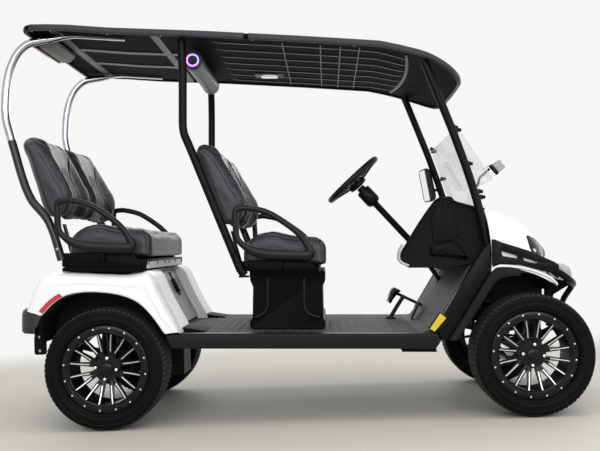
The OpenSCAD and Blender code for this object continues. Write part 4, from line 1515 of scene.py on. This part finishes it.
def pedestal():
    """The front seat's base: waisted sides, each with two raised bends."""
    profile = [(-277, 441), (-277, 476), (-264, 496), (-262, 653), (-277, 686), (-281, 735), (104, 735),
               (106, 686), (92, 653), (95, 496), (106, 476), (106, 441)]
    build = Build()
    rings = []
    for y, draw in ((-374, 9), (-375, 3), (-372, 0), (372, 0), (375, 3), (374, 9)):
        rings.append([(x, y, z) for x, z in inset(fillet(profile, 9), draw)])
    build.loft(rings)
    panels = Build()
    for bend in ([(-187, 700), (-187, 548), (-205, 515), (-250, 496)],
                 [(-1, 700), (-1, 548), (17, 515), (80, 496)]):
        panels.tube(rounded_path([(x, -373, z) for x, z in bend], 40), 9, 12)
    return build, panels.both()


CHEEK_YS = (-501, 490)      # low sides of the plates at the trays' ends
BRACKET_YS = (-320, 280)    # low sides of the backrest brackets
ARM_YS = (-522, 500)        # low sides of the armrests' brackets


def seat_rails():
    """The trays the cushions stand on, the backrest brackets and their bolts."""
    rails, bolts = Build(), Build()
    rails.slab([(-322, 737), (-322, 759), (60, 759), (84, 737)], 5, -494, 494, 3)
    for y0 in CHEEK_YS:
        rails.slab([(-322, 737), (-322, 786), (36, 786), (78, 737)], 6, y0, y0 + 11, 4)
    for z0, z1 in ((735, 741), (749, 757)):
        rails.prism([(-324, z0), (-324, z1), (72, z1), (80, z0)], -495, 495, 2)
    for y0 in BRACKET_YS:
        rails.slab([(-384, 938), (-374, 938), (-317, 748), (-317, 738), (-332, 738)], 3, y0, y0 + 40, 2)
    rear = Build()
    rear.slab([(-1198, 733), (-1198, 752), (-1186, 757), (-1186, 776), (-1198, 780), (-1198, 797),
               (-776, 797), (-776, 772), (-808, 733)], 3, -494, 494, 2)
    for y0 in CHEEK_YS:
        rear.slab([(-1198, 757), (-1198, 826), (-846, 826), (-800, 775), (-800, 757)], 6, y0, y0 + 11, 4)
    for y0 in ARM_YS:
        for tray, x, z in ((rails, -136, 742), (rear, -1012, 780)):
            tray.box((x, y0, z), (x + 32, y0 + 22, z + 64), 5, 3)
    for y0 in BRACKET_YS:
        rear.slab([(-1256, 975), (-1247, 975), (-1194, 797), (-1208, 797)], 3, y0, y0 + 40, 2)
    for x in (-1150, -1020, -880):
        for z in (744, 788):
            bolts.bolt((x, -494, z), (0, -1, 0), 4.5, 3)
    for x in (-290, -110, 40):
        bolts.bolt((x, -494, 748), (0, -1, 0), 4.5, 3)
    piece("pedestal_rails", rails, "base", ["seat_pedestal"])
    piece("rear_seat_tray", rear, "base", ["rear_seat_base"])
    piece("seat_bolts", bolts.both(), "motor")


def front_strip():
    """The pale strip along the front of the rear seat's base, with its dark clips."""
    strip, clips = Build(), Build()
    strip.slab([(-781, 747), (-774, 750), (-774, 783), (-781, 785), (-786, 766)], 2, -478, 478, 2)
    for y in (-462, -250, -60, 60, 250, 462):
        clips.box((-779, y - 6, 768), (-771, y + 6, 786), 2, 1)
    piece("seat_strip", strip, "strip")
    piece("seat_strip_clips", clips, "guard")


def seat_frames():
    arms = Build()
    for matrix in (LEVEL, PITCH_BACK):
        arms.put(armrest(), matrix)
    piece("armrest_loops", arms.both(), "arm", ["armrests"], sharp=60)
    body, panels = pedestal()
    piece("pedestal_body", body, "base", ["seat_pedestal"], sharp=25)
    piece("pedestal_bends", panels, "arm", sharp=50)
    seat_rails()
    front_strip()


seat_frames()


# ---------------------------------------------------------------- dash
DASH = [(684, 1113), (760, 1082), (826, 1064), (888, 1046), (888, 772), (838, 772), (688, 742), (640, 752),
        (520, 752), (487, 772), (469, 805), (489, 846), (640, 1078)]


def dash_form():
    """The dash across the cart: full at the right cheek, set forward from there to the driver's side."""
    rings = []
    for y, soft in ((-477, 9), (-478, 4), (-474, 0), (-440, 0), (-425, 0), (-400, 0), (-360, 0), (-250, 0),
                    (-120, 0), (0, 0), (474, 0), (478, 4), (477, 9)):
        inner = ease(446, 392, -y)
        back = 92 * inner + 14 * ease(380, 60, -y)
        rings.append([(x + back * max(0, 720 - x) / 240
                       + 64 * inner * ease(900, 1050, z) * ease(790, 640, x), y, z)
                      for x, z in inset(fillet(DASH, 16), soft)])
    return Build().loft(rings)


def dash_trim():
    """Raised shapes on the cheek: its rolled edge, a pocket panel, a shelf and a slot."""
    shapes, pale, slot = Build(), Build(), Build()
    edge = curve_through([(494, 838), (520, 888), (580, 985), (640, 1070), (664, 1092), (700, 1098),
                          (770, 1070), (850, 1046)], 5)
    shapes.tube([(p.x, -479, p.y) for p in edge], 5, 10)
    pocket = [(660, 1056), (735, 1056), (762, 985), (775, 915), (742, 888), (640, 872), (632, 1000)]
    shelf = [(622, 862), (734, 881), (758, 880), (826, 786), (728, 806), (628, 812)]
    shapes.prism(fillet(pocket, 18, 5), -483, -470, 5)
    shapes.prism(fillet(shelf, 14, 6), -502, -470, 18)
    rail = curve_through([(488, 868), (474, 840), (468, 806), (474, 786), (490, 772), (520, 760)], 5)
    rings = []
    for i, p in enumerate(rail):
        ahead = heading(rail, i)
        out = Vector((ahead.y, -ahead.x))
        out = -out if out.dot(Vector((-1, -0.6))) < 0 else out
        rings.append([(p.x + out.x * d, y, p.y + out.y * d) for d, y in ((-9, -480), (1, -481), (3, -472),
                                                                         (3, -440), (-4, -436))])
    pale.loft(rings)
    slot.slab([(694, 1036), (702, 1036), (702, 1084), (694, 1080)], 3, -486, -481, 1.5)
    return shapes, pale, slot


def dash_pieces():
    piece("dash_body", dash_form(), "dash", ["dash"], sharp=42)
    shapes, pale, slot = dash_trim()
    piece("dash_cheek", shapes, "dash", sharp=60)
    piece("dash_edge", pale, "dash_grey")
    piece("dash_slot", slot, "guard")
    panel = Build()
    for y0, y1 in ((60, 175), (-400, -80)):
        panel.slab([(606, 898), (702, 1018), (712, 1012), (616, 892)], 3, y0, y1, 3)
    for y in (90, 120, 150):
        panel.lathe([(0.5, 0), (9, 0), (9, -8), (7, -11), (0.5, -11)], (628, y, 930), "X", 20)
    strut = Build().tube([(676, -200, 742), (706, -200, 682)], 9, 12)
    piece("dash_switches", panel, "guard")
    piece("dash_strut", strut, "frame")


dash_pieces()


# ---------------------------------------------------------------- windshield and mirrors
def pane(low, high, half, thick=4):
    """A clear pane with rounded corners, between its lower and upper edges."""
    low, high = Vector(low), Vector(high)
    up = (high - low).normalized()
    face = Vector((up.y, -up.x))
    length = (high - low).length
    shape = fillet([(-half, 0), (half, 0), (half, length), (-half, length)], 46, 7)
    rings = []
    for depth, draw in ((0, 1), (0.8, 0), (thick - 0.8, 0), (thick, 1)):
        rings.append([(low.x + up.x * s + face.x * depth, y, low.y + up.y * s + face.y * depth)
                      for y, s in inset(shape, draw)])
    return Build().loft(rings)


def clip(x, y, z):
    """A small clamp with a thumb knob that holds the folding pane."""
    build = Build().box((x - 10, y - 9, z - 12), (x + 12, y + 9, z + 12), 4, 3)
    knob = Build().lathe([(9, 0), (9, 9), (7, 12), (0.5, 12)], (0, 0, 0), "X", 12)
    build.add([p + Vector((x + 12, y, z)) for p in knob.points], knob.faces)
    return build


def windshield():
    glass = pane((892, 1048), (752, 1446), 470).put(pane((946, 1187), (764, 1458), 470))
    piece("windshield_panes", glass, "clear", ["windshield"])
    clips = Build()
    for x, z in ((818, 1271), (868, 1132), (880, 1104), (762, 1440)):
        clips.put(clip(x, -462, z)).put(clip(x, 462, z))
    for y in (-462, 462):
        clips.tube([(768, y, 1452), (752, y, 1462), (748, y, 1446)], 7, 10)
    piece("windshield_clips", clips, "guard")
    seal = Build().tube([(896, y, 1046) for y in (-468, -200, 0, 200, 468)], 5, 10)
    piece("windshield_seal", seal, "guard")


def driver_mirror():
    """The far mirror: a domed housing behind a bright-edged glass that faces the driver."""
    origin = Vector((723, 544, 1236))
    across = Vector((-30, 132, 0)).normalized()
    up = Vector((-39, 0, 217)).normalized()
    ahead = across.cross(up)
    ahead = -ahead if ahead.x < 0 else ahead
    shape = fillet([(-64, -104), (64, -104), (66, 100), (-58, 106)], 26, 6)

    def rings(*steps):
        """The mirror's outline drawn in by d at depth h, for each (d, h)."""
        return [[origin + across * a + up * b + ahead * h for a, b in inset(shape, d)] for d, h in steps]

    housing = Build().loft(rings((5, -2), (0, 2), (0, 12), (4, 26), (14, 38), (32, 46)))
    housing.tube([(752, 528, 1212), (790, 520, 1206), (812, 516, 1206)], 9, 14)
    rim = Build().loft(rings((4.5, -1), (4, -4), (8, -5), (9.5, -3), (9.5, 0)), caps=False)
    glass = Build().loft(rings((9, -1), (9, -2.5), (12, -3)))
    piece("driver_mirror_housing", housing, "mirror_body", ["mirrors"])
    piece("driver_mirror_rim", rim, "dash_grey")
    piece("driver_mirror_glass", glass, "mirror")


def cabin_mirror():
    band, shell, glass = Build(), Build(), Build()
    band.slab([(986, 1292), (1003, 1303), (1043, 1252), (1030, 1243)], 6, -132, 132, 5)
    shell.slab([(1003, 1300), (1046, 1328), (1080, 1287), (1043, 1256)], 9, -128, 128, 7)
    glass.prism([(985, 1288), (989, 1291), (1029, 1246), (1026, 1243)], -118, 118, 0.6)
    band.tube([(948, 0, 1190), (962, 0, 1240), (1010, 0, 1282)], 7, 12)
    piece("cabin_mirror_band", band, "guard", ["mirrors"])
    piece("cabin_mirror_shell", shell, "mirror_shell")
    piece("cabin_mirror_glass", glass, "mirror")


windshield()
driver_mirror()
cabin_mirror()


# ---------------------------------------------------------------- steering and pedals
DRIVER_Y = 270
GRIP_R, GRIP_THICK = 175.5, 17      # the steering wheel's rim: to its middle, and its own radius
COLUMN = Matrix.Translation((267, DRIVER_Y, 1251)) @ Matrix.Rotation(math.radians(46.9 - 90), 4, "Y")


def steering_wheel():
    grip, hub = Build(), Build()
    rings = []
    for i in range(96):
        angle = 2 * math.pi * i / 96
        rings.append([(math.cos(angle) * (GRIP_R + GRIP_THICK * math.cos(a)),
                       math.sin(angle) * (GRIP_R + GRIP_THICK * math.cos(a)), GRIP_THICK * math.sin(a))
                      for a in circle(16)])
    grip.loft(rings + rings[:1], caps=False)
    hub.lathe([(0.5, -8), (30, -8), (48, -14), (57, -26), (56, -50), (46, -56), (0.5, -56)],
              (0, 0, 0), "Z", 48)
    hub.lathe([(0.5, -2), (22, -2), (28, -4), (30, -8), (0.5, -8)], (0, 0, 0), "Z", 40)
    hub.lathe([(0.5, -40), (56, -40), (54, -50), (40, -56), (26, -59), (0.5, -59)], (0, 0, 0), "Z", 40)
    for angle in (20, 160, 270):
        turn = Matrix.Rotation(math.radians(angle), 4, "Z")
        arm = Build()
        arm.loft([[(r, -w, z - 8), (r, -w * 0.8, z), (r, w * 0.8, z), (r, w, z - 8), (r, w * 0.6, z - 13),
                   (r, -w * 0.6, z - 13)] for r, w, z in ((40, 30, -27), (70, 26, -22), (110, 19, -14),
                                                          (150, 15, -6), (174, 14, 1))])
        hub.put(arm, turn)
    piece("wheel_grip", Build().put(grip, COLUMN), "grip", ["steering_wheel"], "steering_wheel")
    piece("wheel_hub", Build().put(hub, COLUMN), "column", body="steering_wheel", sharp=50)


def steering_column():
    tube = Build().lathe([(0.5, -62), (20, -62), (24, -66), (24, -80), (39, -84), (43, -92), (43, -172),
                          (37, -186), (24, -192), (19, -198), (19, -548), (0.5, -548)], (0, 0, 0), "Z", 40)
    tube.put(Build().tube([(0, 40, -120), (30, 84, -112), (40, 104, -104)], 6, 12))
    build = Build().put(tube, COLUMN)
    build.tube([(640, DRIVER_Y, 850), (1003, 93, 308)], 12, 16)
    build.lathe([(0.5, -18), (20, -18), (22, 0), (20, 18), (0.5, 18)], (655, 263, 828), "Z", 20)
    piece("column_tube", build, "column", ["steering_column"], sharp=45)


def pedals():
    """The brake pedal on its arm, the accelerator on the toe board, and their ribs."""
    build, ribs = Build(), Build()
    y0, y1 = DRIVER_Y - 46, DRIVER_Y + 46
    build.slab([(470, 548), (488, 606), (508, 619), (544, 603), (540, 592), (516, 596), (506, 588),
                (492, 536), (480, 524)], 6, y0, y1, 5)
    for k in range(6):
        u = k / 5
        x, z = 470 + 20 * u, 542 + 62 * u
        ribs.slab([(x - 5, z - 3), (x + 6, z - 7), (x + 8, z), (x - 3, z + 4)], 1.5, y0 + 4, y1 - 4, 1.5)
    build.tube([(500, DRIVER_Y, 596), (560, DRIVER_Y, 566), (668, DRIVER_Y, 516)], 9, 14)
    build.tube([(560, DRIVER_Y + 8, 562), (520, DRIVER_Y + 8, 500), (484, DRIVER_Y + 8, 440)], 12, 14)
    build.slab([(452, 437), (462, 452), (476, 456), (512, 446), (518, 437)], 4,
               DRIVER_Y - 30, DRIVER_Y + 30, 3)
    build.lathe([(0.5, -14), (13, -14), (13, 14), (0.5, 14)], (560, DRIVER_Y, 563), "Y", 20)
    build.slab([(600, 443), (648, 538), (638, 546), (592, 451)], 4, DRIVER_Y - 130, DRIVER_Y - 70, 3)
    for k in range(7):
        x, z = 603 + 6 * k, 464 + 12 * k
        build.prism([(x - 6, z), (x - 1, z - 3), (x + 2, z + 2), (x - 3, z + 5)], DRIVER_Y - 126,
                    DRIVER_Y - 74, 1)
    piece("pedal_arms", build, "pedal", ["pedals"], sharp=45)
    piece("pedal_ribs", ribs, "strip")


steering_wheel()
steering_column()
pedals()


# ---------------------------------------------------------------- floor and sills
SILL = [(-668, 434), (-640, 364), (640, 364), (664, 400), (650, 434)]
AXLE_X, AXLE_Z = -950, 296


def floor_pieces():
    """Sills, the floor mat's raised ribs, the front of its kick-up and the blank label."""
    sills, trim = Build(), Build()
    sills.slab(SILL, 9, -585, -505, 6)
    trim.slab([(-655, 430), (-655, 437), (646, 437), (650, 430)], 2, -580, -508, 1.5)
    for x in (-560, -330, -100, 130, 360, 590):
        trim.bolt((x, -585, 400), (0, -1, 0), 6, 2.5)
    piece("sill_mouldings", sills.both(), "sill", ["side_rails"])
    piece("sill_caps", trim.both(), "sill")
    ribs = Build()
    for y in range(-470, 471, 47):
        for x in range(-560, 560, 44):
            ribs.loft([[(x - a, y - b, z), (x + a, y - b, z), (x + a, y + b, z), (x - a, y + b, z)]
                       for a, b, z in ((18, 19, 435.5), (18, 19, 437), (16, 17, 438))])
    piece("floor_ribs", ribs, "mat")
    lips = Build()
    foot = fillet([(-668, 436), (-664, 470), (-640, 466), (-500, 444), (-480, 436)], 4)
    for y in (-504, 314):
        lips.prism(foot, y, y + 190, 5)
    piece("floor_lips", lips, "liner")
    backing = Build().slab([(606, 462), (660, 541), (696, 513), (636, 438)], 6, -574.5, -556, 3)
    label = Build().slab([(612, 461), (662, 535), (691, 512), (634, 446)], 3, -576, -573, 0.8)
    piece("label_plate", backing, "liner")
    piece("blank_label", label, "yellow")


def undercarriage():
    """The tray below the toe board, and the rear axle's spring clamps and brake pipes."""
    tray = Build().slab([(491, 330), (491, 344), (664, 344), (664, 330)], 4, -430, -170, 3)
    piece("under_tray", tray.both(), "liner")
    clamps, pipes = Build(), Build()
    for y in (-300, 268):
        for x in (AXLE_X - 30, AXLE_X + 24):
            clamps.box((x, y, AXLE_Z - 62), (x + 8, y + 34, AXLE_Z + 44), 3, 2)
        clamps.box((AXLE_X - 44, y - 6, AXLE_Z + 40), (AXLE_X + 44, y + 40, AXLE_Z + 50), 4, 3)
    for y in (-60, 60):
        pipes.tube(curve_through([(-980, y, 392), (-940, y * 2, 352), (-970, y * 4, 340), (-950, y * 6, 330)],
                                 5), 4, 8)
    piece("spring_clamps", clamps, "spring", lean=False)
    piece("brake_pipes", pipes, "frame", lean=False)


floor_pieces()
undercarriage()
